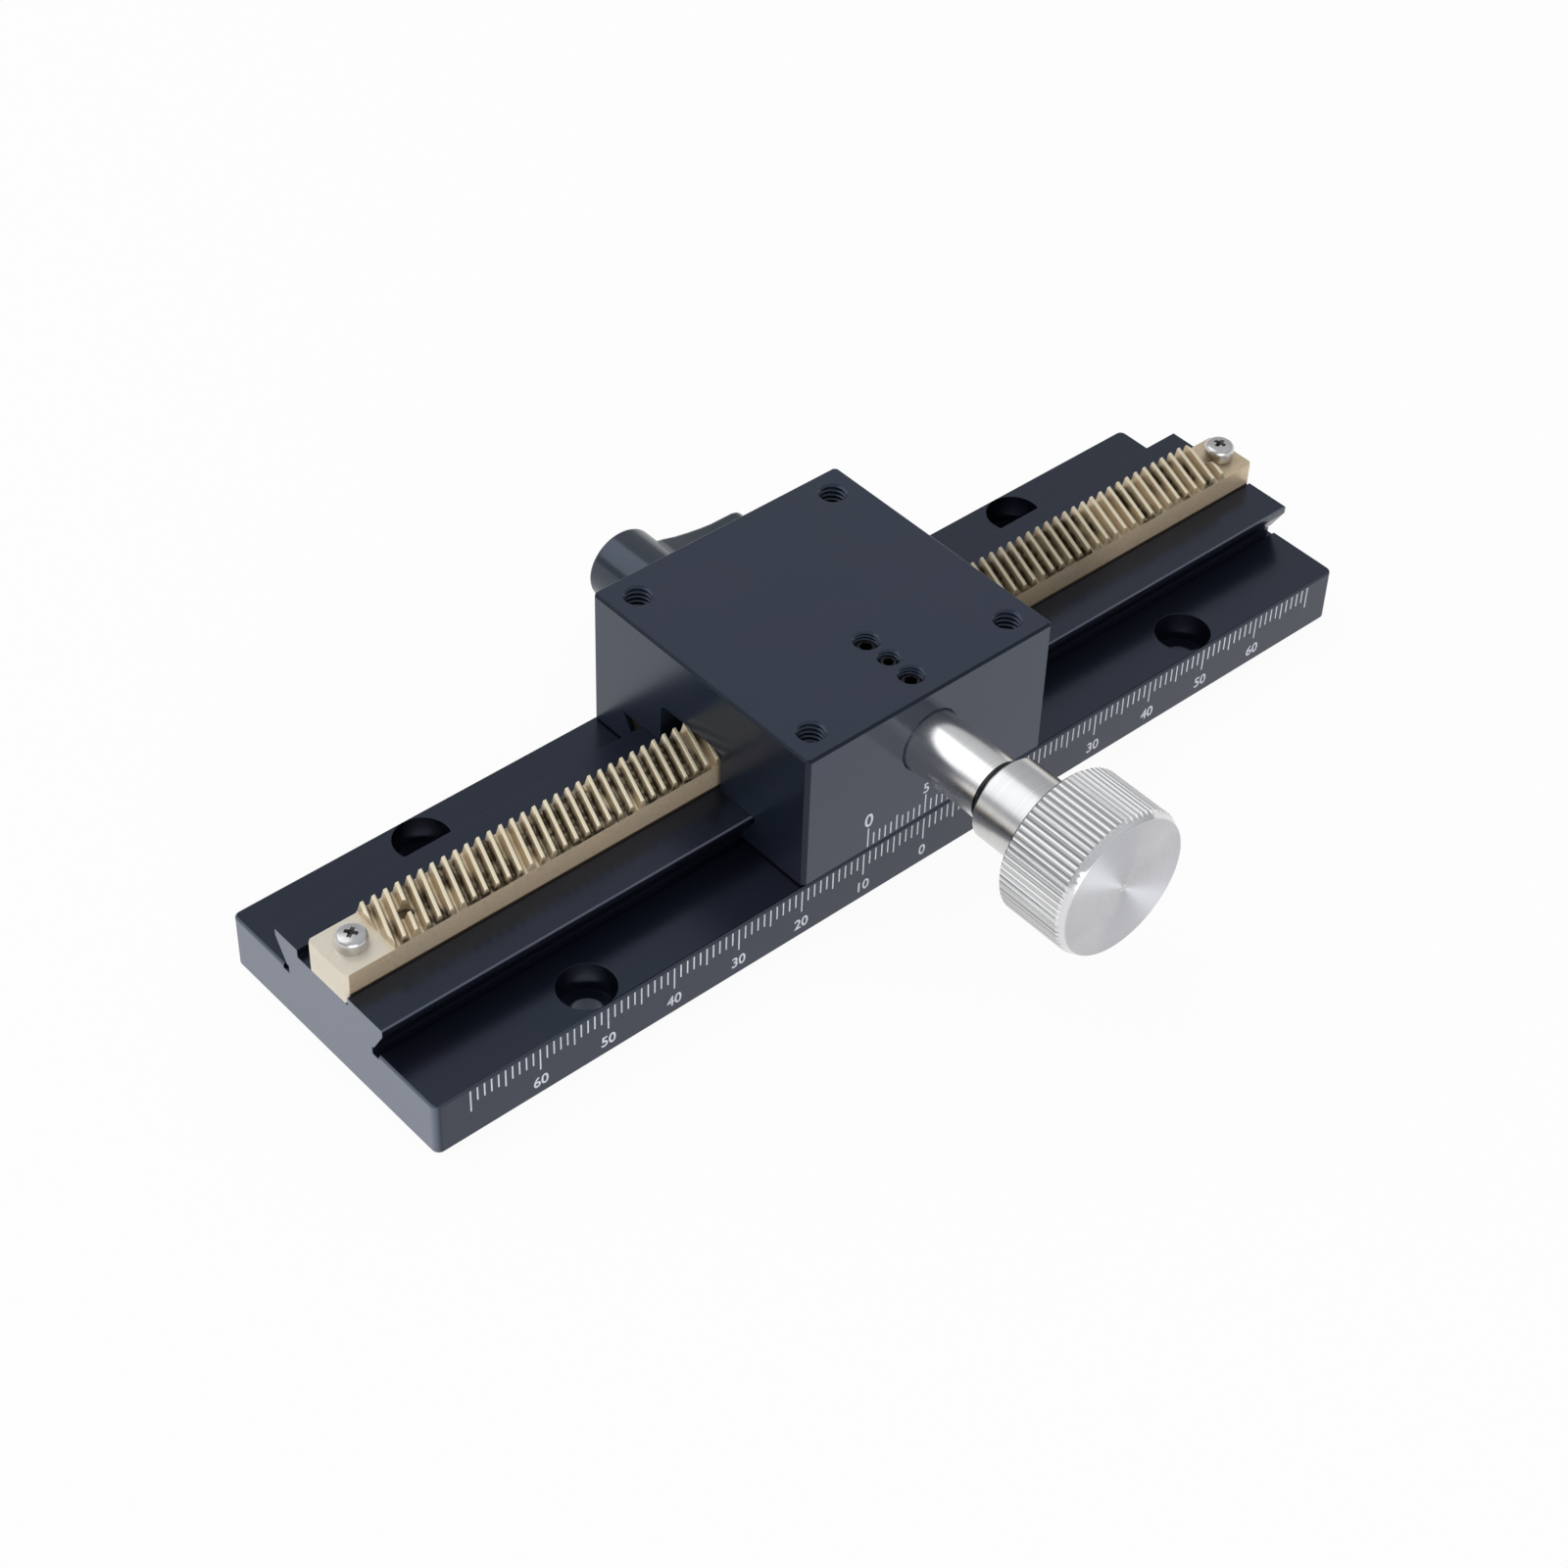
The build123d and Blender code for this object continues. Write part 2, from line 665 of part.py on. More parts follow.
# Clamp stud: thread end in the block, collar, and a hexagon that drives the hub
with BuildPart() as clamp_stud:
    with BuildSketch(facing_back(0, plug_back + seat_gap, clamp_height)):
        Circle(stud_diameter / 2)
    extrude(amount=stud_collar_start - plug_back)
    with BuildSketch(facing_back(0, stud_collar_start, clamp_height)):
        Circle(stud_collar_diameter / 2)
    extrude(amount=stud_collar_length)
    chamfer(clamp_stud.faces().sort_by(Axis.Y)[-1].edges(), pin_edge_break)
    with BuildSketch(facing_back(0, hexagon_start, clamp_height)):
        RegularPolygon(radius=stud_hexagon / 2, side_count=6, major_radius=False)
    extrude(amount=stud_hexagon_length)
    with Locations(facing_back(0, hexagon_end, clamp_height)):
        Hole(lever_screw_diameter / 2 + thread_gap, hexagon_end - lever_screw_tip + hole_overrun)
clamp_stud.part.label = "clamp_stud"

# Handle: round hub, and an arm whose sides sweep out of it, thinner towards its tip
arm_tip_radius = arm_tip_width / 2
arm_tip_start = arm_reach - arm_tip_length
arm_back = hub_end - arm_setback
with BuildPart() as arm:
    with BuildSketch(facing_front(0, hub_end, clamp_height)):
        with BuildLine():
            ThreePointArc(
                (0, arm_root_width / 2), (arm_middle_reach, arm_middle_width / 2),
                (arm_tip_start, arm_tip_radius),
            )
            Line((arm_tip_start, arm_tip_radius), (arm_reach - arm_tip_radius, arm_tip_radius))
            ThreePointArc(
                (arm_reach - arm_tip_radius, arm_tip_radius), (arm_reach, 0),
                (arm_reach - arm_tip_radius, -arm_tip_radius),
            )
            Line((arm_reach - arm_tip_radius, -arm_tip_radius), (arm_tip_start, -arm_tip_radius))
            ThreePointArc(
                (arm_tip_start, -arm_tip_radius), (arm_middle_reach, -arm_middle_width / 2),
                (0, -arm_root_width / 2),
            )
            Line((0, -arm_root_width / 2), (0, arm_root_width / 2))
        make_face()
    extrude(amount=hub_end - hub_start)
    with BuildSketch(Plane.XY.offset(clamp_height)):
        with BuildLine():
            Polyline(
                (0, arm_back), (arm_reach, arm_back - arm_lean),
                (arm_reach, arm_back - arm_lean - arm_tip_thickness),
                (0, arm_back - arm_root_thickness), close=True,
            )
        make_face()
    extrude(amount=hub_diameter, both=True, mode=Mode.INTERSECT)
    rim_edges = arm.edges().filter_by(Axis.Y, reverse=True).filter_by(lambda edge: edge.center().X > 1)
    fillet(rim_edges, arm_edge_radius)

with BuildPart() as lever_handle:
    with BuildSketch(facing_back(0, hub_start, clamp_height)):
        Circle(hub_diameter / 2)
    extrude(amount=hub_end - hub_start)
    fillet(lever_handle.faces().sort_by(Axis.Y)[-1].edges(), hub_rim)
    add(arm.part)
    with BuildSketch(facing_back(0, hub_start, clamp_height)):
        RegularPolygon(radius=stud_hexagon / 2 + seat_gap, side_count=6, major_radius=False)
    extrude(amount=stud_hexagon_length, mode=Mode.SUBTRACT)
    with Locations(facing_back(0, hub_end, clamp_height)):
        CounterBoreHole(
            lever_screw_diameter / 2 + thread_gap, lever_screw_head_diameter / 2 + lever_screw_head_gap,
            hub_end - screw_pocket_floor,
        )
lever_handle.part.label = "lever_handle"

with BuildPart() as lever_screw:
    with Locations(facing_back(0, lever_screw_seat, clamp_height)):
        add(pan_screw(
            lever_screw_diameter, lever_screw_length, lever_screw_head_diameter, lever_screw_head_height
        ))
    with BuildSketch(facing_back(0, lever_screw_seat + lever_screw_head_height, clamp_height)):
        RegularPolygon(radius=lever_screw_socket / 2, side_count=6, major_radius=False)
    extrude(amount=-socket_depth, mode=Mode.SUBTRACT)
lever_screw.part.label = "lever_screw"

os.makedirs("parts", exist_ok=True)
for piece in (
    base_rail, rack, rack_screws, rack_dowel_pin,
    carriage_block, gib, gib_screws, clamp_plug,
    pinion_bushing, bushing_set_screws, drag_screw, drag_plug, rear_bush,
    pinion_shaft, thrust_washer, knob, knob_set_screw,
    lever_handle, clamp_stud, lever_screw,
):
    export_step(piece.part, f"parts/{piece.part.label}.step")
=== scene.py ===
import json
from math import atan2, cos, hypot, pi, radians, sin

import bmesh
import bpy
from mathutils import Matrix, Vector

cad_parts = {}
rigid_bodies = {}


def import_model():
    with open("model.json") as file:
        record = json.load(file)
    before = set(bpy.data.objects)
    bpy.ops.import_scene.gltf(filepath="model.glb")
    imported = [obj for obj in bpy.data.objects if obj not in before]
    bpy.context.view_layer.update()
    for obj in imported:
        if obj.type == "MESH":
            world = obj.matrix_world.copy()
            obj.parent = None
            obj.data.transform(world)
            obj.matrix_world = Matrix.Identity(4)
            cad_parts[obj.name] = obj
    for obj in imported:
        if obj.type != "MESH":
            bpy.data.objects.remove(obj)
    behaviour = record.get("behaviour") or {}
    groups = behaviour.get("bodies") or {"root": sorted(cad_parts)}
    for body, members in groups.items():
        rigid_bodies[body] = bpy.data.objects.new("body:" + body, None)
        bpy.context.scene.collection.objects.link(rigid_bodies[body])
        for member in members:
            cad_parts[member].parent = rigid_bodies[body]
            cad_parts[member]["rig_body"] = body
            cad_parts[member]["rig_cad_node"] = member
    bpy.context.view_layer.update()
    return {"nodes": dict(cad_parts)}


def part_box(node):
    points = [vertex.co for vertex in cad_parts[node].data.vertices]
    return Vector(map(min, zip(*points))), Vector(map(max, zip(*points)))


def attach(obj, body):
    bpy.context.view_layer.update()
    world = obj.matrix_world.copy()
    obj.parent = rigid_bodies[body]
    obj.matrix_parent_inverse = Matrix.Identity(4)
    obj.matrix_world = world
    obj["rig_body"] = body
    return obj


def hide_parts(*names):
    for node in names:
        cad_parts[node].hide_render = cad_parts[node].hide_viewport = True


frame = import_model()

# Lengths are in metres, so mm turns a value in millimetres into scene units
mm = 0.001

# The photograph's camera, fitted to the rail and the table, with its focal length in the frame's pixels
photo_side = 1600
camera_focal = 3399.0
camera_azimuth = radians(-42.63)
camera_elevation = radians(43.201)
camera_roll = radians(2.184)
camera_place = Vector((-213.897, -226.642, 291.295)) * mm
sensor_width = 36.0
cool_white = (0.97, 0.99, 1.03)

# Boxes of the main nodes, and the places that the pieces share
rail_low, rail_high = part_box("base_rail")
block_low, block_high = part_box("carriage_block")
rack_low, rack_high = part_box("rack")
knob_low, knob_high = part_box("knob")
bushing_low, bushing_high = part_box("pinion_bushing")
washer_low, washer_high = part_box("thrust_washer")
handle_low, handle_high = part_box("lever_handle")
stud_low, stud_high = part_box("clamp_stud")
shaft_axis = (bushing_low.z + bushing_high.z) / 2
clamp_axis = (stud_low.z + stud_high.z) / 2
face_y = rail_low.y

# Sizes in millimetres that several pieces share
sleeve_radius, sleeve_bore = 4.25, 2.55
knob_radius, knurl_depth, knurl_count, segments_each = 10.0, 0.3, 72, 4
socket_depth = 1.2
line_width, line_proud, line_sunk = 0.2, 0.012, 0.03


# Selecting and editing


def alone(piece):
    """Leaves this piece the only one selected, in object mode."""
    if bpy.context.mode != "OBJECT":
        bpy.ops.object.mode_set(mode="OBJECT")
    bpy.ops.object.select_all(action="DESELECT")
    piece.select_set(True)
    bpy.context.view_layer.objects.active = piece
    return piece


def edit(piece):
    alone(piece)
    bpy.ops.object.mode_set(mode="EDIT")


def done(piece):
    """Back to object mode, with the piece's place, turn and scale moved into its mesh."""
    alone(piece)
    bpy.ops.object.transform_apply(location=True, rotation=True, scale=True)
    return piece


def pick(piece, kind, test):
    """In edit mode, selects the verts, edges or faces that pass the test and no others."""
    bpy.ops.mesh.select_mode(type=kind)
    bpy.ops.mesh.select_all(action="DESELECT")
    mesh = bmesh.from_edit_mesh(piece.data)
    items = {"VERT": mesh.verts, "EDGE": mesh.edges, "FACE": mesh.faces}[kind]
    for item in items:
        if test(item):
            item.select_set(True)
    mesh.select_flush_mode()
    bmesh.update_edit_mesh(piece.data)


def sharp(edge, least=radians(35)):
    return len(edge.link_faces) == 2 and edge.calc_face_angle(0.0) > least


def bevel_picked(width, segments=2):
    bpy.ops.mesh.bevel(offset=width, segments=segments, affect="EDGES", clamp_overlap=False)


def face_outwards():
    bpy.ops.mesh.select_all(action="SELECT")
    bpy.ops.mesh.remove_doubles(threshold=0.0001 * mm)
    bpy.ops.mesh.normals_make_consistent(inside=False)


def apply_modifier(piece, kind, **settings):
    alone(piece)
    modifier = piece.modifiers.new(kind.lower(), kind)
    for name, value in settings.items():
        setattr(modifier, name, value)
    bpy.ops.object.modifier_apply(modifier=modifier.name)


def smooth(piece, angle=36):
    """Rounds the shading up to this angle and keeps the large faces flat."""
    alone(piece)
    bpy.ops.object.shade_smooth_by_angle(angle=radians(angle))
    apply_modifier(piece, "WEIGHTED_NORMAL", weight=80, keep_sharp=True)


def remove(piece):
    mesh = piece.data
    bpy.data.objects.remove(piece)
    bpy.data.meshes.remove(mesh)


def cut(piece, cutter, operation="DIFFERENCE"):
    apply_modifier(piece, "BOOLEAN", operation=operation, object=cutter, solver="EXACT")
    remove(cutter)


def joined(name, pieces):
    alone(pieces[0])
    for piece in pieces[1:]:
        piece.select_set(True)
    bpy.ops.object.join()
    pieces[0].name = name
    return pieces[0]


def twin(piece):
    """A copy with its own mesh."""
    copy = piece.copy()
    copy.data = piece.data.copy()
    bpy.context.scene.collection.objects.link(copy)
    return copy


def merged_copy(node, name):
    """A copy of a CAD node with its loose triangles merged into whole faces."""
    piece = twin(frame["nodes"][node])
    piece.name = name
    piece.parent = None
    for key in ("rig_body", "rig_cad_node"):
        del piece[key]
    alone(piece)
    bpy.ops.mesh.customdata_custom_splitnormals_clear()
    edit(piece)
    bpy.ops.mesh.select_all(action="SELECT")
    bpy.ops.mesh.remove_doubles(threshold=0.0002 * mm)
    bpy.ops.mesh.dissolve_limited(angle_limit=radians(0.4))
    bpy.ops.object.mode_set(mode="OBJECT")
    return piece


# Turned pieces and threads, made along Z and then laid along the slide's Y


def turned(name, stations, segments=128, bored=False):
    """A turned piece: a circle carried through stations of (radius, height) in millimetres.

    The first and last stations are its end faces. A bored piece has none: its last ring meets its first.
    """
    radius, height = stations[0]
    bpy.ops.mesh.primitive_circle_add(
        vertices=segments, radius=radius * mm, fill_type="NOTHING" if bored else "NGON",
        location=(0, 0, height * mm),
    )
    piece = bpy.context.object
    piece.name = name
    done(piece)
    edit(piece)
    bpy.ops.mesh.select_all(action="SELECT")
    for next_radius, next_height in stations[1:] + (stations[:1] if bored else []):
        rise = (0, 0, (next_height - height) * mm)
        if bored:
            bpy.ops.mesh.extrude_edges_move(TRANSFORM_OT_translate={"value": rise})
        else:
            bpy.ops.mesh.extrude_region_move(TRANSFORM_OT_translate={"value": rise})
        share = next_radius / radius
        bpy.ops.transform.resize(value=(share, share, 1), center_override=(0, 0, next_height * mm))
        radius, height = next_radius, next_height
    face_outwards()
    bpy.ops.object.mode_set(mode="OBJECT")
    return piece


def soften(piece, width, least=radians(35)):
    """Rounds every edge that is sharper than the angle."""
    edit(piece)
    pick(piece, "EDGE", lambda edge: sharp(edge, least))
    bevel_picked(width * mm)
    bpy.ops.object.mode_set(mode="OBJECT")
    return piece


def lay(piece, axis_height, towards_front=True):
    """Turns a piece made along Z to lie along Y at this height: its heights become -Y, or +Y."""
    piece.rotation_euler = (radians(90 if towards_front else -90), 0, 0)
    piece.location = (0, 0, axis_height)
    return done(piece)


def rounded(centre_radius, centre_height, radius, angles):
    """Stations on a rounded edge, at these angles above the level."""
    turns = [radians(angle) for angle in angles]
    return [(centre_radius + radius * cos(turn), centre_height + radius * sin(turn)) for turn in turns]


def helix_ridge(radius, depth, pitch, height):
    """A three-sided ridge wound round Z, from below zero to above this height, pointing out or in."""
    half_pitch, foot_share, steps = pitch * mm / 2, 0.16, 24
    bpy.ops.mesh.primitive_circle_add(vertices=3, radius=half_pitch, fill_type="NOTHING")
    ridge = bpy.context.object
    edit(ridge)
    pick(ridge, "VERT", lambda vert: vert.co.y > 0)
    bpy.ops.transform.translate(value=(0, abs(depth) * mm - half_pitch, 0))
    # The two feet stay just behind the wall that the ridge cuts
    pick(ridge, "VERT", lambda vert: vert.co.y <= 0)
    bpy.ops.transform.resize(value=(1, foot_share, 1), center_override=(0, 0, 0))
    bpy.ops.object.mode_set(mode="OBJECT")
    # The triangle's plane stands up: its X becomes Z and its Y points away from the axis, or towards it
    outwards = 1 if depth > 0 else -1
    ridge.matrix_world = Matrix.Translation((radius * mm, 0, -half_pitch)) @ Matrix((
        (0, outwards, 0, 0), (0, 0, outwards, 0), (1, 0, 0, 0), (0, 0, 0, 1),
    ))
    done(ridge)
    apply_modifier(
        ridge, "SCREW", angle=2 * pi, screw_offset=pitch * mm, iterations=max(1, round(height / pitch + 1)),
        steps=steps, render_steps=steps, use_merge_vertices=True, merge_threshold=half_pitch / 2000,
    )
    edit(ridge)
    bpy.ops.mesh.select_all(action="SELECT")
    bpy.ops.mesh.fill_holes(sides=0)
    face_outwards()
    bpy.ops.object.mode_set(mode="OBJECT")
    return ridge


def cut_hexagon(screw, half_flats, height):
    """Cuts a hexagon socket into the top of a screw that stands along Z."""
    bpy.ops.mesh.primitive_cylinder_add(
        vertices=6, radius=half_flats / cos(radians(30)) * mm, depth=2 * socket_depth * mm,
        location=(0, 0, height * mm),
    )
    cut(screw, done(bpy.context.object))


# Materials


class Finish:
    """A procedural material: a Principled shader with helpers that wire patterns to it."""

    def __init__(self, name, colour, metallic=0.0, roughness=0.4, **sockets):
        self.material = bpy.data.materials.new(name)
        self.material.use_nodes = True
        self.nodes = self.material.node_tree.nodes
        self.shader = self.nodes["Principled BSDF"]
        self.set(self.shader, {
            "Base Color": (*colour, 1), "Metallic": metallic, "Roughness": roughness, **sockets,
        })
        self.place = self.nodes.new("ShaderNodeTexCoord").outputs["Object"]

    def set(self, node, sockets):
        for name, value in sockets.items():
            if isinstance(value, bpy.types.NodeSocket):
                self.material.node_tree.links.new(value, node.inputs[name])
            else:
                node.inputs[name].default_value = value
        return node

    def add(self, kind, output, sockets=None, **settings):
        node = self.nodes.new(kind)
        for name, value in settings.items():
            setattr(node, name, value)
        self.set(node, sockets or {})
        return node.outputs[output]

    def split(self, vector):
        """The X, Y and Z of a vector."""
        return self.add("ShaderNodeSeparateXYZ", "X", {"Vector": vector}).node.outputs

    def facing(self):
        """The X, Y and Z of the surface's direction."""
        return self.split(self.add("ShaderNodeNewGeometry", "Normal"))

    def calculate(self, operation, *values):
        return self.add("ShaderNodeMath", 0, dict(enumerate(values)), operation=operation)

    def multiply(self, first, *others):
        for other in others:
            first = self.calculate("MULTIPLY", first, other)
        return first

    def stretched(self, scale, turn=(0, 0, 0), source=None):
        """Object coordinates in millimetres times this scale."""
        return self.add("ShaderNodeMapping", "Vector", {
            "Vector": source or self.place, "Scale": Vector(scale) / mm, "Rotation": turn,
        })

    def noise(self, vector, detail):
        return self.add("ShaderNodeTexNoise", "Fac", {
            "Vector": vector, "Scale": 1.0, "Detail": detail, "Roughness": 0.55,
        })

    def spread(self, value, low, high, start=0.3, end=0.7):
        """The value from start to end mapped to low to high."""
        return self.add("ShaderNodeMapRange", "Result", {
            "Value": value, "From Min": start, "From Max": end, "To Min": low, "To Max": high,
        })

    def blend(self, share, first, second):
        """Colour between first and second by share; each is a colour or a socket."""
        node = self.nodes.new("ShaderNodeMix")
        node.data_type = "RGBA"
        colours = [s for s in node.inputs if s.type == "RGBA"]
        for socket, value in zip([node.inputs[0], *colours], [share, first, second]):
            if isinstance(value, bpy.types.NodeSocket):
                self.material.node_tree.links.new(value, socket)
            else:
                socket.default_value = value if socket == node.inputs[0] else (*value, 1)
        return next(s for s in node.outputs if s.type == "RGBA")

    def bump(self, height, depth, under=None):
        """Relief of this depth in millimetres; several can be stacked."""
        sockets = {"Height": height, "Distance": depth * mm}
        if under is not None:
            sockets["Normal"] = under
        return self.add("ShaderNodeBump", "Normal", sockets)

    def wire(self, **sockets):
        self.set(self.shader, {name.replace("_", " "): value for name, value in sockets.items()})
        return self.material


def shade(colour, share):
    return tuple(part * share for part in colour)


def anodised(
    name, dark, light, roughness, level, tint, grain, painted_lit_ends=None, painted_edge_highlights=(), front_share=1.0,
):
    """Dyed anodised aluminium: drifts of hue, an etched grain and faint milling lines along the travel."""
    finish = Finish(name, dark, roughness=roughness, **{
        "Specular IOR Level": level, "Specular Tint": (*tint, 1),
    })
    cloud = finish.noise(finish.stretched((0.06, 0.08, 0.08)), detail=2)
    fine = finish.noise(finish.stretched((9, 9, 9)), detail=2)
    lines = finish.noise(finish.stretched((0.12, 5, 5)), detail=3)
    colour = finish.blend(finish.spread(cloud, 0, 1), dark, light)
    x, y, z = finish.split(finish.place)
    section = finish.add("ShaderNodeCombineXYZ", "Vector", {"Y": y, "Z": z})
    for edge_y, edge_z, strength in painted_edge_highlights:
        # Painted highlight: a lighter line along these long edges, in place of the light on their narrow edge
        # breaks
        gap = finish.add(
            "ShaderNodeVectorMath", "Value", {0: section, 1: (0, edge_y, edge_z)}, operation="DISTANCE",
        )
        painted_highlight = finish.spread(gap, strength, 0, 0.1 * mm, 0.28 * mm)
        colour = finish.blend(painted_highlight, colour, (0.1, 0.11, 0.135))
    if painted_lit_ends:
        # Painted light: the ends are paler than the milled sides, and the corners run from one to the other
        along, endwise = finish.calculate("ABSOLUTE", x), finish.calculate("ABSOLUTE", finish.facing()[0])
        at_end = finish.spread(along, 0, 1, rail_high.x - 1.05 * mm, rail_high.x - 1.0 * mm)
        painted_end_light = finish.multiply(at_end, finish.spread(endwise, 0, 1, 0.3, 0.97))
        colour = finish.blend(painted_end_light, colour, painted_lit_ends)
    rough = finish.calculate(
        "ADD", finish.spread(cloud, roughness * 0.94, roughness * 1.06), finish.spread(lines, -0.01, 0.012),
    )
    if front_share != 1.0:
        # The front face is ground smoother than the others and mirrors the sleeve
        rough = finish.multiply(rough, finish.spread(finish.facing()[1], front_share, 1, -0.98, -0.9))
    relief = finish.bump(lines, 0.0015, under=finish.bump(fine, 0.003 * grain))
    return finish.wire(Base_Color=colour, Roughness=rough, Normal=relief)


def milled_brass():
    """Pale brass: cutter lines across the faces, painted highlights along the crests and a painted sheen on
    the toothless left end, brown oxide, old lubricant in the low places, and painted shade there, along the
    rack's foot and beside the carriage.
    """
    pale, deep, tan = (0.87, 0.76, 0.58), (0.60, 0.46, 0.26), (0.76, 0.58, 0.39)
    # A paler grey for the painted sheen, a pale gold for the painted crest highlights, and a near-black brown
    # for old lubricant and for painted shade
    sheen_grey, crest, oil_and_shade = (0.80, 0.79, 0.71), (0.94, 0.84, 0.62), (0.045, 0.028, 0.01)
    tooth_root = rack_high.z - 1.1 * mm
    slant = (0, 0, radians(-20))
    finish = Finish("milled_brass", pale, metallic=0.5, roughness=0.36)
    x, y, z = finish.split(finish.place)
    cloud = finish.noise(finish.stretched((0.25, 0.4, 0.4)), detail=5)
    lines = finish.noise(finish.stretched((7, 0.3, 0.5), turn=slant), detail=2)
    by_gap = finish.noise(finish.stretched((0.3, 0.04, 0.04), turn=slant), detail=2)
    mottled = finish.noise(finish.stretched((1.1, 1.1, 1.1)), detail=5)
    specks = finish.noise(finish.stretched((2.2, 2.2, 2.2)), detail=6)

    def above(base, start, end, low, high):
        """Low to high, while the height goes from start to end millimetres above this base."""
        return finish.spread(z, low, high, base + start * mm, base + end * mm)

    # Painted sheen: on the toothless left end, the top and the end face get a paler grey that stands in for
    # their reflection
    facing = finish.facing()
    outwards = finish.calculate("MAXIMUM", facing[2], finish.calculate("ABSOLUTE", facing[0]))
    painted_sheen = finish.multiply(
        finish.spread(x, 0.55, 0, -68.5 * mm, -67.5 * mm), finish.spread(outwards, 0, 1, 0.4, 0.7),
    )
    # Darker gaps in the middle of the travel: partly old lubricant that the pinion leaves, partly painted
    # shade from the carriage
    middle = finish.spread(finish.calculate("ABSOLUTE", x), 0.07, 0, 42 * mm, 48 * mm)
    gap_oil_and_shade = finish.spread(finish.calculate("ADD", by_gap, middle), 0.2, 1.0, 0.46, 0.56)
    # Old lubricant and painted shade in the tooth gaps, darkest low down and patchy along the rack
    low_oil_and_shade = finish.multiply(
        above(tooth_root, 0.4, 0.95, 1, 0), above(tooth_root, -0.12, -0.06, 0, 1),
        gap_oil_and_shade, finish.spread(mottled, 0.6, 1.0, 0.35, 0.55),
    )
    # Painted contact shadow: a dark line where the rack's front stands on the rail
    foot = finish.multiply(
        above(rail_high.z, 0.24, 0.36, 0.96, 0),
        finish.spread(y, 1, 0, rack_low.y + 0.02 * mm, rack_low.y + 0.04 * mm),
    )
    # Painted shadow of the carriage block: dark to the right of the middle, thinner from there to the end
    block_shadow = finish.multiply(
        finish.spread(x, 0, 0.45, 20 * mm, 26 * mm), finish.spread(x, 1, 0.3, 43 * mm, 50 * mm),
    )
    colour = pale
    for share, over in (
        (finish.spread(cloud, 0, 0.75), deep),
        (above(tooth_root, -0.25, -0.15, 0.7, 0), tan),
        (finish.spread(specks, 0, 0.75, 0.55, 0.7), deep),
        (above(tooth_root, -0.02, 0.02, 0, 0.5), deep), (painted_sheen, sheen_grey),
        # Painted highlight: a pale band along the top of the tooth crests
        (above(rack_high.z, -0.12, -0.04, 0, 0.95), crest),
        (low_oil_and_shade, oil_and_shade), (foot, oil_and_shade), (block_shadow, oil_and_shade),
    ):
        colour = finish.blend(share, colour, over)
    return finish.wire(
        Base_Color=colour, Roughness=finish.spread(cloud, 0.32, 0.46), Normal=finish.bump(lines, 0.012),
    )


def steel(
    name, colour, roughness, ring_depth, spread=0.25, anisotropy=0.0, grooved=False, dark_ring_end=None,
):
    """Steel turned about the shaft's axis: rings along the length and round the end faces."""
    finish = Finish(name, colour, metallic=1.0, roughness=roughness, Anisotropic=anisotropy)
    x, y, z = finish.split(finish.place)
    above_axis = finish.calculate("SUBTRACT", z, shaft_axis)
    centred = finish.add("ShaderNodeCombineXYZ", "Vector", {"X": x, "Z": above_axis})
    distance = finish.add("ShaderNodeVectorMath", "Value", {0: centred}, operation="LENGTH")
    along = finish.add("ShaderNodeCombineXYZ", "Vector", {"X": distance, "Y": y})
    rings = finish.noise(finish.stretched((6, 6, 0), source=along), detail=3)
    cloud = finish.noise(finish.stretched((0.15, 0.2, 0.15)), detail=4)
    rough = finish.spread(cloud, roughness * (1 - spread), roughness * (1 + spread))
    tone = finish.blend(finish.spread(rings, 0, 0.5), colour, shade(colour, 0.82))
    if grooved:
        # Grime and painted shade in the knurl's grooves, behind the front bevel
        groove_foot, crest = knob_radius - knurl_depth + 0.05, knob_radius - 0.08
        groove_grime_and_shade = finish.multiply(
            finish.spread(distance, 0.4, 0, groove_foot * mm, crest * mm),
            finish.spread(distance, 0, 1, (knob_radius - 0.6) * mm, (knob_radius - 0.5) * mm),
            finish.spread(y, 0, 1, knob_low.y + 1.0 * mm, knob_low.y + 1.3 * mm),
        )
        tone = finish.blend(groove_grime_and_shade, tone, (0.1, 0.1, 0.105))
    if dark_ring_end is not None:
        # A near-black ring round the sleeve's outer end, beside the washer
        dark_ring = finish.spread(y, 0.97, 0, dark_ring_end - 0.08 * mm, dark_ring_end)
        tone = finish.blend(dark_ring, tone, (0.012, 0.011, 0.01))
    if anisotropy:
        # The tangent runs round the shaft's axis, which is above the object's origin
        around = finish.add(
            "ShaderNodeCombineXYZ", "Vector", {"X": above_axis, "Z": finish.multiply(x, -1.0)},
        )
        around = finish.add("ShaderNodeVectorMath", "Vector", {0: around}, operation="NORMALIZE")
        around = finish.add(
            "ShaderNodeVectorTransform", "Vector", {"Vector": around},
            vector_type="VECTOR", convert_from="OBJECT", convert_to="WORLD",
        )
        finish.wire(Tangent=around, Anisotropic_Rotation=0.25)
    return finish.wire(Base_Color=tone, Roughness=rough, Normal=finish.bump(rings, ring_depth))


def plated(name, colour, roughness):
    """Small fasteners: plated or blackened metal with faint tool marks and worn patches."""
    finish = Finish(name, colour, metallic=1.0, roughness=roughness)
    cloud = finish.noise(finish.stretched((0.6, 0.6, 0.6)), detail=5)
    marks = finish.noise(finish.stretched((5, 5, 5)), detail=2)
    return finish.wire(
        Base_Color=finish.blend(finish.spread(cloud, 0, 0.6), colour, shade(colour, 0.7)),
        Roughness=finish.spread(cloud, roughness * 0.8, roughness * 1.3),
        Normal=finish.bump(marks, 0.004),
    )


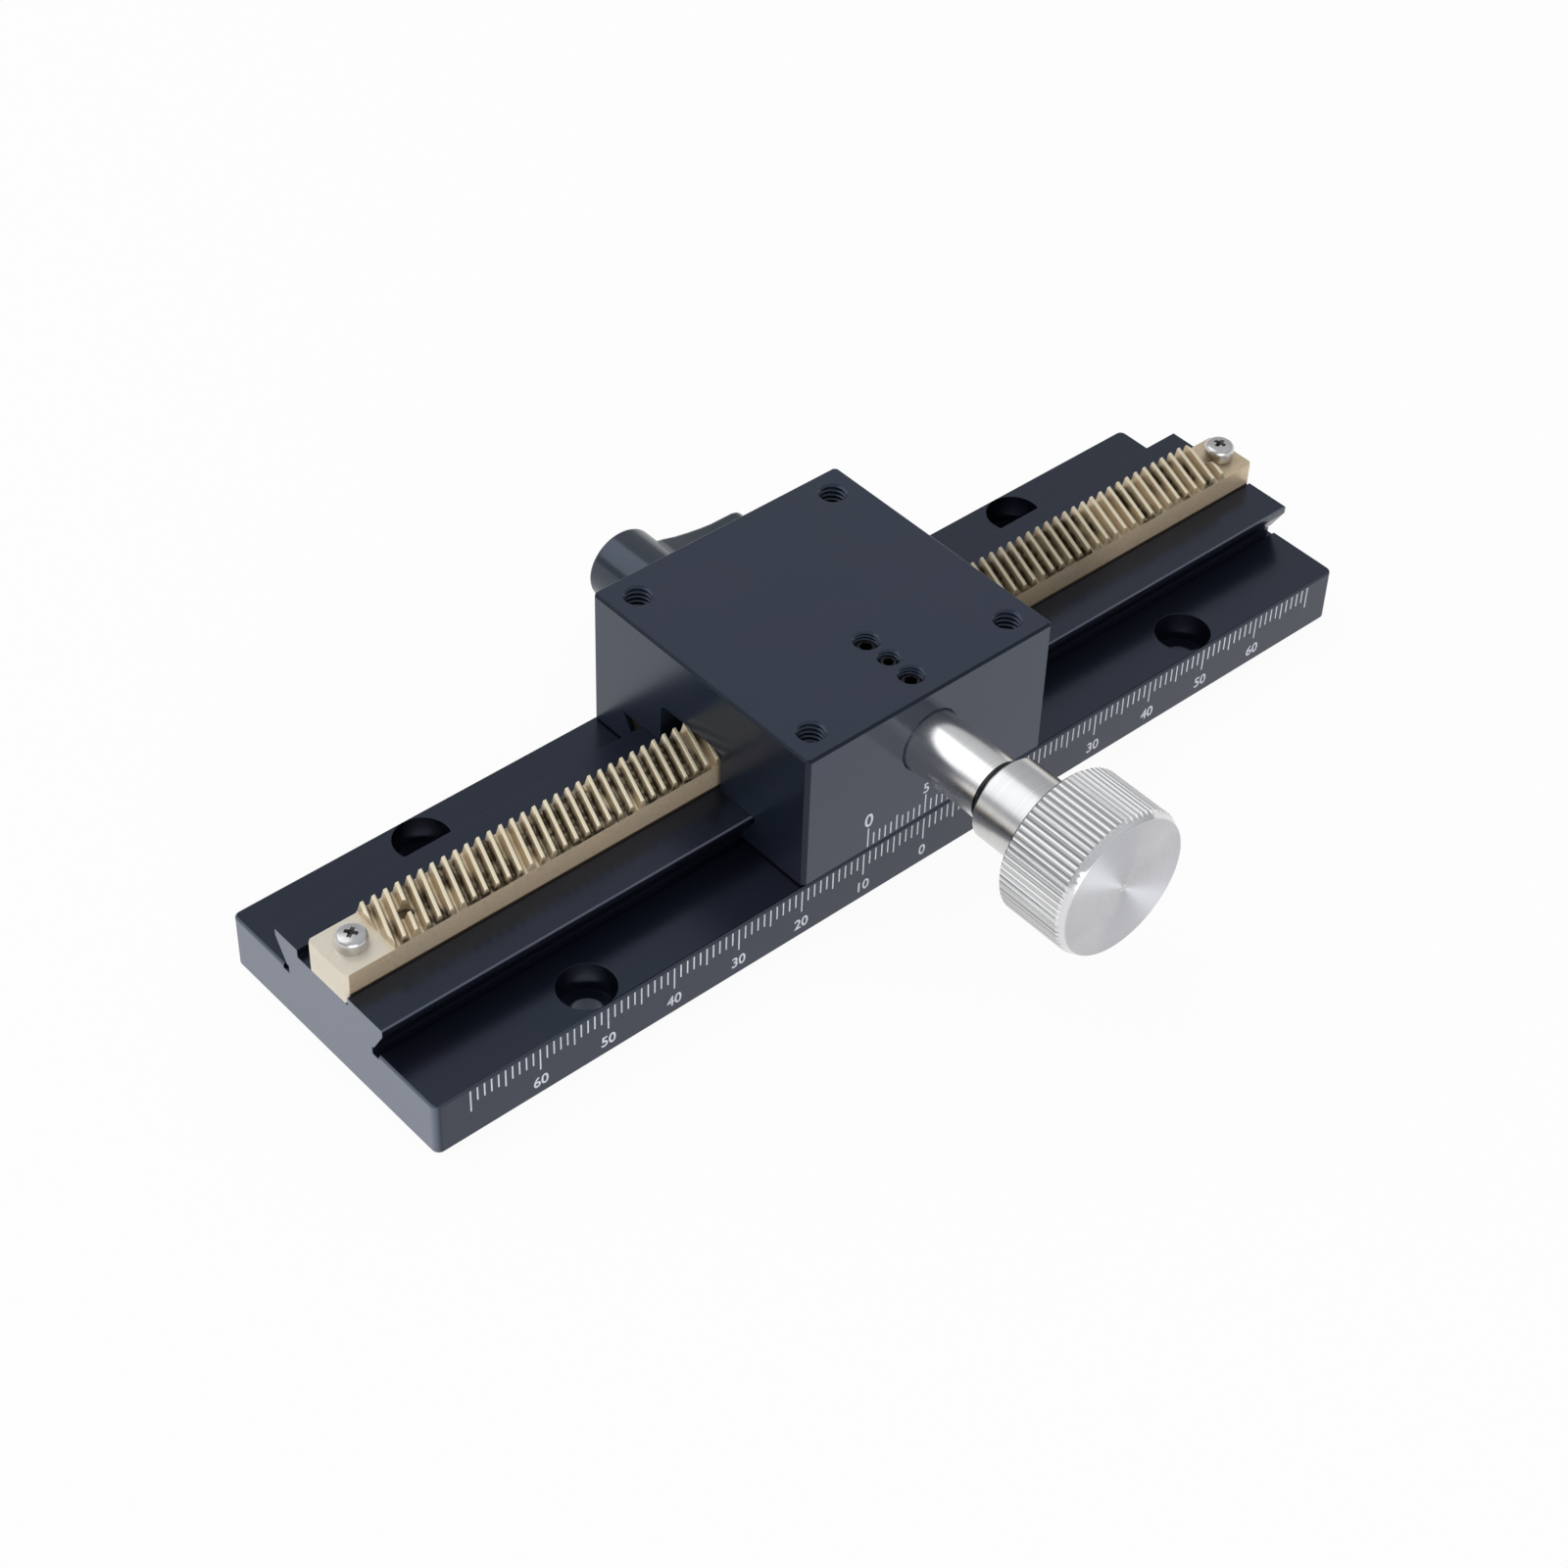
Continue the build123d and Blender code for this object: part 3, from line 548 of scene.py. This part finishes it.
def moulded(name, colour, roughness, grain, **sockets):
    """Plastic or paint: a fine orange-peel grain and slight changes of gloss."""
    finish = Finish(name, colour, roughness=roughness, **sockets)
    peel = finish.noise(finish.stretched((3, 3, 3)), detail=3)
    cloud = finish.noise(finish.stretched((0.12, 0.12, 0.12)), detail=4)
    lighter = tuple(part * 1.35 + 0.003 for part in colour)
    return finish.wire(
        Base_Color=finish.blend(finish.spread(cloud, 0, 1), colour, lighter),
        Roughness=finish.spread(cloud, roughness * 0.85, roughness * 1.2),
        Normal=finish.bump(peel, grain),
    )


finishes = {
    "rail": anodised(
        "rail_anodising", dark=(0.003, 0.005, 0.009), light=(0.006, 0.0055, 0.010), roughness=0.25,
        # Paler colour for the painted light on the rail's ends
        level=0.64, tint=(0.57, 0.7, 1.0), grain=0.6, painted_lit_ends=(0.155, 0.17, 0.205),
        # Painted highlights along the dovetail's and the flange's front top edges
        painted_edge_highlights=((-10.5 * mm, rail_high.z, 0.9), (-20 * mm, 8 * mm, 0.6)),
    ),
    "block": anodised(
        "block_anodising", dark=(0.0095, 0.016, 0.026), light=(0.014, 0.015, 0.027), roughness=0.24,
        level=0.7, tint=(0.62, 0.74, 1.0), grain=0.7, front_share=0.5,
    ),
    # A darker, duller copy of the block's finish: painted shade for its chamfers
    "shaded_block_edge": anodised(
        "block_edge_anodising", dark=(0.007, 0.01, 0.016), light=(0.009, 0.01, 0.016), roughness=0.3,
        level=0.3, tint=(0.62, 0.74, 1.0), grain=0.7,
    ),
    "brass": milled_brass(),
    "nickel": plated("nickel_plate", (0.62, 0.61, 0.6), roughness=0.24),
    "black_oxide": plated("black_oxide", (0.045, 0.045, 0.05), roughness=0.38),
    "bushing": steel(
        "polished_bushing", (0.82, 0.81, 0.79), roughness=0.24, ring_depth=0.0006, spread=0.2,
        dark_ring_end=knob_high.y + 1.26 * mm,
    ),
    "turned": steel(
        "turned_steel", (0.64, 0.64, 0.63), roughness=0.25, ring_depth=0.0012, spread=0.15, grooved=True,
    ),
    "faced": steel(
        "faced_steel", (0.66, 0.66, 0.685), roughness=0.5, ring_depth=0.0006, spread=0.1, anisotropy=0.93,
    ),
    "bevelled": steel("bevelled_steel", (0.74, 0.74, 0.75), roughness=0.15, ring_depth=0.0004, spread=0.2),
    "shaft": steel("ground_shaft", (0.6, 0.6, 0.61), roughness=0.25, ring_depth=0.002),
    "bronze": steel("sintered_bronze", (0.5, 0.33, 0.17), roughness=0.42, ring_depth=0.004),
    # Dark oily steel; on the gib this darkness is partly painted shade
    "oiled_and_shaded": plated("oiled_steel_and_shade", (0.1, 0.08, 0.05), roughness=0.4),
    "nylon": moulded("nylon", (0.8, 0.79, 0.74), roughness=0.45, grain=0.004),
    "washer": moulded("black_washer", (0.012, 0.012, 0.013), roughness=0.5, grain=0.004),
    "lever": moulded("lever_paint", (0.007, 0.009, 0.014), roughness=0.17, grain=0.002, **{
        "Specular IOR Level": 0.9, "Specular Tint": (0.7, 0.82, 1, 1),
    }),
    "scale_white": moulded("scale_white", (0.6, 0.61, 0.64), roughness=0.5, grain=0.002),
}


def put(piece, body, slot, finish, *nodes):
    """Gives a finished piece its material and its body, and hides the CAD nodes that it stands for; its slot
    is not used.
    """
    piece.data.materials.clear()
    piece.data.materials.append(finishes[finish])
    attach(piece, body)
    if nodes:
        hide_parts(*nodes)
    return piece


# Rail and rack


def make_rail():
    rail = merged_copy("base_rail", "rail_body")
    soften(rail, 0.07)
    smooth(rail)
    return put(rail, "base", "black_anodised", "rail", "base_rail")


def make_rack():
    rack = merged_copy("rack", "rack_bar")
    soften(rack, 0.06)
    smooth(rack)
    return put(rack, "base", "rack_brass", "brass", "rack")


def make_rack_screws():
    """Two cross-recess screws with round-shouldered heads, the right one not driven all the way down."""
    low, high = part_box("rack_screws")
    head_radius, head_height, shoulder, crown = 2.0, 2.0, 0.7, 0.12
    shank, length, point = 1.25, 9.0, 0.3
    recess_sides, recess_taper = (2.4, 0.75, 2.2), (0.45, 0.55, 1)
    rim = head_height - shoulder - crown
    screw = turned("rack_screw", [
        (0.4, -length), (shank - point, -length), (shank, point - length), (shank, 0),
        (head_radius, 0), (head_radius, rim),
        *rounded(head_radius - shoulder, rim, shoulder, (18, 36, 54, 70, 82)),
        (0.7, head_height - 0.04), (0.3, head_height),
    ], segments=64)
    bpy.ops.mesh.primitive_cube_add(size=1, location=(0, 0, head_height * mm))
    slot = bpy.context.object
    slot.scale = [side * mm for side in recess_sides]
    done(slot)
    edit(slot)
    pick(slot, "FACE", lambda face: face.normal.z < -0.9)
    bpy.ops.transform.resize(value=recess_taper, center_override=(0, 0, 0))
    bpy.ops.object.mode_set(mode="OBJECT")
    other = twin(slot)
    other.rotation_euler = (0, 0, radians(90))
    done(other)
    cut(screw, slot)
    cut(screw, other)
    smooth(screw, 30)
    left, right, inset = twin(screw), screw, head_radius * mm
    # Each screw's place along X, its turn in degrees and how high it stands
    for piece, x, turn, standing in ((left, low.x + inset, 35, 0), (right, high.x - inset, 10, 0.5)):
        piece.rotation_euler = (0, 0, radians(turn))
        piece.location = (x, 0, low.z + (length + standing) * mm)
        done(piece)
    return put(joined("rack_end_screws", [left, right]), "base", "nickel_screw", "nickel", "rack_screws")


def done_together(name, pieces):
    """Applies the places of many small pieces at once and joins them."""
    alone(pieces[0])
    for piece in pieces:
        piece.select_set(True)
    bpy.ops.object.transform_apply(location=True, rotation=True, scale=True)
    bpy.ops.object.join()
    pieces[0].name = name
    return pieces[0]


def ruled_lines(name, lines):
    """White lines on the front face, each given as its place along X, its foot and its length."""
    bpy.ops.mesh.primitive_cube_add(size=mm)
    tick = bpy.context.object
    row = []
    for x, foot, length in lines:
        line = twin(tick)
        line.scale = (line_width, line_proud + line_sunk, length)
        line.location = (x * mm, face_y + (line_sunk - line_proud) * mm / 2, (foot + length / 2) * mm)
        row.append(line)
    remove(tick)
    return done_together(name, row)


def line_length(step, tens, fives, ones):
    return tens if step % 10 == 0 else fives if step % 5 == 0 else ones


def make_scale():
    """Ruled lines and numbers in white on the rail's front face."""
    top, number_size, number_foot = 8.0 - 0.45, 2.25, 1.5
    lines = []
    for step in range(-70, 71):
        length = line_length(step, 3.4, 2.7, 2.1)
        lines.append((step, top - length, length))
    put(ruled_lines("scale_lines", lines), "base", "black_anodised", "scale_white")
    numbers = [
        standing_text(str(abs(step)), number_size, step * mm, number_foot * mm) for step in range(-60, 61, 10)
    ]
    return put(joined("scale_numbers", numbers), "base", "black_anodised", "scale_white")


def standing_text(body, size, x, z):
    """A number standing on the front face, its foot at this height, as proud of the face as the lines."""
    half_depth, stroke = 0.02, 0.035
    bpy.ops.object.text_add()
    text = bpy.context.object
    text.data.body = body
    text.data.size = size * mm
    text.data.align_x = "CENTER"
    text.data.extrude = half_depth * mm
    text.data.offset = stroke * mm
    text.data.resolution_u = 4
    text.rotation_euler = (radians(90), 0, 0)
    text.location = (x, face_y + (half_depth - line_proud) * mm, z)
    alone(text)
    bpy.ops.object.convert(target="MESH")
    return done(bpy.context.object)


def make_vernier():
    """Twenty divisions of 0.95 mm on the block's lower front edge, numbered 0, 5 and 10."""
    division, longest, foot = 0.95, 3.1, block_low.z / mm + 0.3
    lines = []
    for step in range(21):
        lines.append(((step - 10) * division, foot, line_length(step, longest, 2.5, 1.9)))
    put(ruled_lines("vernier_lines", lines), "carriage", "black_anodised", "scale_white")
    label_foot = foot + longest + 0.35
    labels = [
        standing_text(body, size, step * division * mm, label_foot * mm)
        for body, size, step in (("0", 2.9, -10), ("5", 2.2, 0), ("10", 2.2, 10))
    ]
    return put(joined("vernier_numbers", labels), "carriage", "black_anodised", "scale_white")


# Carriage


def make_block():
    """The table, with its edges softened and real threads cut in its tapped holes."""
    block = merged_copy("carriage_block", "table_block")
    inside = 0.7 * mm

    def near_edge(place):
        near = [abs(abs(place.x) - block_high.x) < inside, abs(abs(place.y) - block_high.y) < inside,
                abs(place.z - block_high.z) < inside, abs(place.z - block_low.z) < inside]
        return sum(near) >= 2

    edit(block)
    pick(block, "EDGE", lambda edge: sharp(edge) and near_edge((edge.verts[0].co + edge.verts[1].co) / 2))
    bevel_picked(0.07 * mm)
    bpy.ops.object.mode_set(mode="OBJECT")
    # Each thread: its place, radius, depth, pitch and length, and how far below the table it starts
    threads = [(x, y, 1.6, 0.36, 0.7, 8.5, 8.2) for x in (-16, 16) for y in (-16, 16)]
    threads += [(0, y, radius, 0.24, 0.5, 1.6, 1.4) for y, radius in ((-16, 1.5), (-12, 1.25), (-8, 1.5))]
    ridges = []
    for x, y, radius, depth, pitch, length, start in threads:
        ridge = helix_ridge(radius, depth, pitch, length)
        ridge.location = (x * mm, y * mm, block_high.z - start * mm)
        ridges.append(done(ridge))
    cut(block, joined("ridges", ridges))
    smooth(block)
    put(block, "carriage", "black_anodised", "block", "carriage_block")
    # Painted shade: the narrow outer chamfers get a darker, duller copy of the block's finish, so they show
    # no light band
    block.data.materials.append(finishes["shaded_block_edge"])
    for face in block.data.polygons:
        if max(abs(part) for part in face.normal) < 0.995 and near_edge(face.center):
            face.material_index = 1
    return block


def sleeve_ring(name, inner, outer, rim):
    """A ring of the sleeve's bore and radius between two heights, with its outer edges broken."""
    return turned(name, [
        (sleeve_bore, inner), (sleeve_bore, outer), (sleeve_radius - rim, outer),
        (sleeve_radius, outer - rim), (sleeve_radius, inner + rim), (sleeve_radius - rim, inner),
    ], bored=True)


def make_bushing():
    """The polished sleeve, from its seat inside the block to the washer."""
    seat_depth = 15.6
    bushing = sleeve_ring("bushing_sleeve", -face_y / mm - seat_depth, -bushing_low.y / mm, rim=0.3)
    soften(bushing, 0.06, least=radians(40))
    smooth(bushing)
    lay(bushing, shaft_axis)
    return put(bushing, "carriage", "polished_steel", "bushing", "pinion_bushing")


def make_washer():
    washer = sleeve_ring("washer_ring", -washer_high.y / mm, -washer_low.y / mm, rim=0.05)
    smooth(washer)
    lay(washer, shaft_axis)
    return put(washer, "drive", "washer_black", "washer", "thrust_washer")


def make_knob():
    """The knob with its collar: a turned blank whose rim is drawn in to straight grooves."""
    start, back, front = -knob_high.y / mm, 42.1, -knob_low.y / mm
    collar, collar_rim, bore, bore_end = 5.6, 0.4, 2.52, 48.68
    bevel_in, bevel_long, back_break = 0.55, 1.2, 0.35
    dimple, dimple_depth, crest_depth = 0.5, 0.12, 0.06
    segments = knurl_count * segments_each
    knob = turned("knob_body", [
        (bore, bore_end), (bore, start), (collar - collar_rim, start), (collar, start + collar_rim),
        (collar, back), (knob_radius - back_break, back), (knob_radius, back + back_break),
        (knob_radius, front - bevel_long), (knob_radius - bevel_in, front),
        (dimple, front), (0.18, front - dimple_depth),
    ], segments=segments)

    def at(height, parts):
        """Test for the blank's verts on the rim at this height, at these parts of each groove."""
        def test(vert):
            on_rim = hypot(vert.co.x, vert.co.y) > (knob_radius - 0.05) * mm
            step = round(atan2(vert.co.y, vert.co.x) / (2 * pi / segments))
            return on_rim and abs(vert.co.z - height * mm) < 0.01 * mm and step % segments_each in parts
        return test

    edit(knob)
    for depth, parts in ((knurl_depth, (0,)), (crest_depth, (1, 3))):
        share = (knob_radius - depth) / knob_radius
        for height, slope in ((back + back_break, -1), (front - bevel_long, bevel_long / bevel_in)):
            pick(knob, "VERT", at(height, parts))
            bpy.ops.transform.resize(value=(share, share, 1), center_override=(0, 0, height * mm))
            bpy.ops.transform.translate(value=(0, 0, slope * depth * mm))
    # Softens the sharp turned edges inside the knurl
    pick(knob, "EDGE", lambda edge: sharp(edge, radians(60)) and min(
        hypot(vert.co.x, vert.co.y) for vert in edge.verts) < (knob_radius - 0.5) * mm)
    bevel_picked(0.07 * mm)
    bpy.ops.object.mode_set(mode="OBJECT")
    smooth(knob, 24)
    lay(knob, shaft_axis)
    put(knob, "drive", "turned_steel", "turned", "knob")
    # The front face and its bevel are finished apart from the knurl and the collar
    for finish, low, high in (("faced", 0.99, 1.01), ("bevelled", 0.3, 0.6)):
        knob.data.materials.append(finishes[finish])
        for face in knob.data.polygons:
            if low < -face.normal.y < high and face.center.y < knob_low.y + 1.3 * mm:
                face.material_index = len(knob.data.materials) - 1
    return knob


# Set screws with real threads and a hexagon socket


def make_set_screw(name, radius, length, pitch, point_length=0.3, point_radius=1.2):
    """A set screw along Z, its point at the origin and its socket on top."""
    edge, rim, thread_depth = 0.05, 0.3, 0.24
    screw = turned(name, [
        (point_radius, 0), (radius - edge, point_length), (radius, point_length + edge),
        (radius, length - rim), (radius - rim, length),
    ], segments=48)
    cut(screw, helix_ridge(radius + 0.02, -thread_depth, pitch, length))
    cut_hexagon(screw, radius / 2, length)
    smooth(screw, 30)
    return screw


def placed(piece, place, rotation):
    """A finished copy at this place, with its own mesh."""
    copy = twin(piece)
    copy.location = place
    copy.rotation_euler = rotation
    return done(copy)


def make_set_screws():
    """The socket screws: four at the back, three in line in the table and one in the knob's collar."""
    low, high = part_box("gib_screws")
    model = make_set_screw(
        "gib_screw", radius=1.5, length=(high.y - low.y) / mm, pitch=0.5, point_length=2.2, point_radius=0.4,
    )
    turn = (radians(-90), 0, 0)
    back = [placed(model, (x * mm, low.y, clamp_axis), turn) for x in (-15, -7.5, 7.5, 15)]
    remove(model)
    put(joined("gib_set_screws", back), "carriage", "black_screw", "black_oxide", "gib_screws")

    low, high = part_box("bushing_set_screws")
    model = make_set_screw("bushing_screw", radius=1.5, length=(high.z - low.z) / mm, pitch=0.5)
    pair = [
        placed(model, (0, y * mm, low.z), (0, 0, radians(degrees))) for y, degrees in ((-16, 12), (-8, 40))
    ]
    remove(model)
    put(joined("bushing_grub_screws", pair), "carriage", "black_screw", "black_oxide", "bushing_set_screws")

    low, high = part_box("drag_screw")
    screw = make_set_screw(
        "drag_grub_screw", radius=1.25, length=(high.z - low.z) / mm, pitch=0.45, point_radius=0.95,
    )
    screw.location = (0, -12 * mm, low.z)
    put(done(screw), "carriage", "black_screw", "black_oxide", "drag_screw")

    low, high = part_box("knob_set_screw")
    screw = make_set_screw("knob_grub_screw", radius=1.5, length=(high.z - low.z) / mm, pitch=0.5)
    screw.rotation_euler = (radians(180), 0, 0)
    screw.location = (0, (low.y + high.y) / 2, high.z)
    put(done(screw), "drive", "black_screw", "black_oxide", "knob_set_screw")


# Clamp lever


def make_lever():
    """A turned hub with an arm that sweeps out of it and thins towards its tip."""
    start, end = handle_low.y / mm, handle_high.y / mm
    radius, outer_rim, inner_rim = 5.25, 0.6, 0.25
    bore, bore_depth, screw_hole, pocket_radius, pocket = 3.1, 9.5, 1.55, 2.95, 2.3
    hub = turned("lever_body", [
        (bore, start), (bore, start + bore_depth), (screw_hole, start + bore_depth),
        (screw_hole, end - pocket), (pocket_radius, end - pocket), (pocket_radius, end),
        (radius - outer_rim, end),
        *rounded(radius - outer_rim, end - outer_rim, outer_rim, (67.5, 45, 22.5)),
        (radius, end - outer_rim), (radius, start + inner_rim), (radius - inner_rim, start),
    ], bored=True)
    lay(hub, 0, towards_front=False)
    # The arm's stations: reach along X and half its width
    reach, tip = handle_high.x / mm, 2.0
    outer_root, inner_root, outer_tip, inner_tip = end - 3.0, end - 7.6, end - 3.2, end - 6.0
    stations = [(1.5, 4.35), (4.6, 3.75), (6.7, 3.1), (9.0, 2.6), (11.0, 2.25), (13.0, tip)]
    stations += [(reach - tip, tip), *rounded(reach - tip, 0, tip, (65, 45, 30, 18, 9))]

    def section(x):
        """Middle and half of the arm's thickness at this reach; the tip is rounded this way too."""
        share = x / reach
        outer = outer_root + (outer_tip - outer_root) * share
        inner = inner_root + (inner_tip - inner_root) * share
        left = max(0.0, 1 - (reach - x) / 0.7)
        return (outer + inner) / 2, (outer - inner) / 2 * (1 - 0.35 * left * left)

    bpy.ops.mesh.primitive_cube_add(size=2 * mm)
    arm = bpy.context.object
    x, half = stations[0]
    middle, thick = section(x)
    arm.scale = (0.5, thick, half)
    arm.location = ((x - 0.5) * mm, middle * mm, 0)
    done(arm)
    edit(arm)
    pick(arm, "EDGE", lambda edge: abs(edge.verts[0].co.x - edge.verts[1].co.x) > 0.5 * mm)
    bevel_picked(0.8 * mm, 4)
    pick(arm, "FACE", lambda face: face.normal.x > 0.9)
    for next_x, next_half in stations[1:]:
        next_middle, next_thick = section(next_x)
        bpy.ops.mesh.extrude_region_move(TRANSFORM_OT_translate={
            "value": ((next_x - x) * mm, (next_middle - middle) * mm, 0)
        })
        bpy.ops.transform.resize(
            value=(1, next_thick / thick, next_half / half),
            center_override=(next_x * mm, next_middle * mm, 0),
        )
        x, half, middle, thick = next_x, next_half, next_middle, next_thick
    face_outwards()
    bpy.ops.object.mode_set(mode="OBJECT")
    cut(hub, arm, "UNION")
    smooth(hub, 32)
    hub.location = (0, 0, clamp_axis)
    return put(done(hub), "lever", "lever_black", "lever", "lever_handle")


def make_lever_screw():
    """The round-headed socket screw in the hub's outer end."""
    low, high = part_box("lever_screw")
    shank, point, head, head_height, side, dome = 1.5, 0.3, 2.75, 1.8, 0.7, 1.1
    length = (high.y - low.y) / mm
    seat = length - head_height
    screw = turned("hub_screw", [
        (shank - point, 0), (shank, point), (shank, seat), (head, seat), (head, seat + side),
        *rounded(head - dome, seat + side, dome, (22.5, 45, 67.5, 90)),
    ], segments=64)
    cut_hexagon(screw, 1.0, length)
    smooth(screw, 30)
    screw.rotation_euler = (radians(-90), 0, 0)
    screw.location = (0, low.y, clamp_axis)
    return put(done(screw), "lever", "black_screw", "black_oxide", "lever_screw")


make_rail()
make_rack()
make_rack_screws()
make_scale()
make_block()
make_vernier()
make_bushing()
make_washer()
make_knob()
make_set_screws()
make_lever()
make_lever_screw()

# CAD nodes that stay as they are, with their finishes
kept_nodes = {
    # The gib's dark finish is partly painted shade, standing in for the shadow it lies in
    "rack_dowel_pin": "oiled_and_shaded", "gib": "oiled_and_shaded", "clamp_plug": "brass", "drag_plug": "nylon",
    "rear_bush": "bronze", "pinion_shaft": "shaft", "clamp_stud": "shaft",
}
for node, finish in kept_nodes.items():
    materials = frame["nodes"][node].data.materials
    materials.clear()
    materials.append(finishes[finish])


# Stage: floor, world, lamps and camera


def reckon(nodes, links, operation, first, second):
    """A Math node's result from a socket and a socket or a number."""
    node = nodes.new("ShaderNodeMath")
    node.operation = operation
    links.new(first, node.inputs[0])
    if isinstance(second, bpy.types.NodeSocket):
        links.new(second, node.inputs[1])
    else:
        node.inputs[1].default_value = second
    return node.outputs[0]


def graded(nodes, links, value, start, end, low, high):
    """The value from start to end mapped to low to high."""
    node = nodes.new("ShaderNodeMapRange")
    links.new(value, node.inputs["Value"])
    for name, number in (("From Min", start), ("From Max", end), ("To Min", low), ("To Max", high)):
        node.inputs[name].default_value = number
    return node.outputs["Result"]


def mixed(nodes, links, share, first, second, output):
    """Shows the second shader by share over the first one, at the tree's output."""
    mix = nodes.new("ShaderNodeMixShader")
    for socket, value in zip(mix.inputs, (share, first.outputs[0], second.outputs[0])):
        links.new(value, socket)
    links.new(mix.outputs[0], nodes[output].inputs["Surface"])


def seen_rays(nodes, links):
    """1 for the rays that show the background: the camera's, and those in metal or through glass."""
    rays = nodes.new("ShaderNodeLightPath").outputs
    seen = reckon(nodes, links, "MAXIMUM", rays["Is Camera Ray"], rays["Is Glossy Ray"])
    return reckon(nodes, links, "MAXIMUM", seen, rays["Is Transmission Ray"])


def make_floor():
    """A pale floor that the camera and the reflections see nearly white, with its shadows kept."""
    side, white = 3, 0.94
    bpy.ops.mesh.primitive_plane_add(size=side)
    floor = bpy.context.object
    floor.name = "floor"
    material = bpy.data.materials.new("pale_floor")
    material.use_nodes = True
    nodes, links = material.node_tree.nodes, material.node_tree.links
    shader = nodes["Principled BSDF"]
    shader.inputs["Base Color"].default_value = (0.9, 0.9, 0.9, 1)
    shader.inputs["Roughness"].default_value = 0.9
    share = reckon(nodes, links, "MULTIPLY", seen_rays(nodes, links), white)
    mixed(nodes, links, share, shader, nodes.new("ShaderNodeEmission"), "Material Output")
    floor.data.materials.append(material)


def make_world():
    """A soft tent of light, dimmer near the horizon, with a low white backdrop past the floor."""
    world = bpy.data.worlds.new("studio")
    bpy.context.scene.world = world
    world.use_nodes = True
    nodes, links = world.node_tree.nodes, world.node_tree.links
    direction = nodes.new("ShaderNodeTexCoord").outputs["Generated"]
    rise = nodes.new("ShaderNodeVectorMath")
    rise.operation = "DOT_PRODUCT"
    links.new(direction, rise.inputs[0])
    rise.inputs[1].default_value = (0, 0, 1)
    rise = rise.outputs["Value"]
    tent = nodes["Background"]
    tent.inputs["Color"].default_value = (*cool_white, 1)
    links.new(graded(nodes, links, rise, 0, 0.8, 0.42, 0.68), tent.inputs["Strength"])
    backdrop = nodes.new("ShaderNodeBackground")
    backdrop.inputs["Color"].default_value = (1, 1, 1, 1)
    backdrop.inputs["Strength"].default_value = 0.985
    below_top = graded(nodes, links, rise, 0.16, 0.2, 1, 0)
    share = reckon(nodes, links, "MULTIPLY", seen_rays(nodes, links), below_top)
    mixed(nodes, links, share, tent, backdrop, "World Output")


def make_lamp(name, place, aim, size, power):
    """A soft rectangular lamp that points at a place on the slide."""
    bpy.ops.object.light_add(type="AREA", location=place)
    lamp = bpy.context.object
    lamp.name = name
    lamp.data.shape = "RECTANGLE"
    lamp.data.size, lamp.data.size_y = size
    lamp.data.energy = power
    lamp.data.color = cool_white
    lamp.rotation_euler = (Vector(aim) - Vector(place)).to_track_quat("-Z", "Y").to_euler()


def make_camera():
    """The photograph's camera, from its fitted place, direction and roll."""
    back = Vector((
        sin(camera_azimuth) * cos(camera_elevation), -cos(camera_azimuth) * cos(camera_elevation),
        sin(camera_elevation),
    ))
    level = Vector((cos(camera_azimuth), sin(camera_azimuth), 0))
    upright = back.cross(level)
    right = level * cos(camera_roll) + upright * sin(camera_roll)
    up = upright * cos(camera_roll) - level * sin(camera_roll)
    bpy.ops.object.camera_add()
    camera = bpy.context.object
    camera.data.sensor_width = sensor_width
    camera.data.lens = camera_focal / photo_side * sensor_width
    camera.data.clip_start = 0.01
    camera.matrix_world = Matrix.Translation(camera_place) @ Matrix((right, up, back)).transposed().to_4x4()
    bpy.context.scene.camera = camera


make_floor()
make_world()
make_lamp("key_softbox", place=(-0.41, 0.64, 0.94), aim=(0, 0, 0), size=(1.15, 1.1), power=3.8)
make_lamp("front_card", place=(-0.42, -0.78, 0.24), aim=(0.01, -0.05, 0.02), size=(0.8, 0.45), power=2.6)
make_camera()

bpy.context.scene.view_settings.view_transform = "Standard"
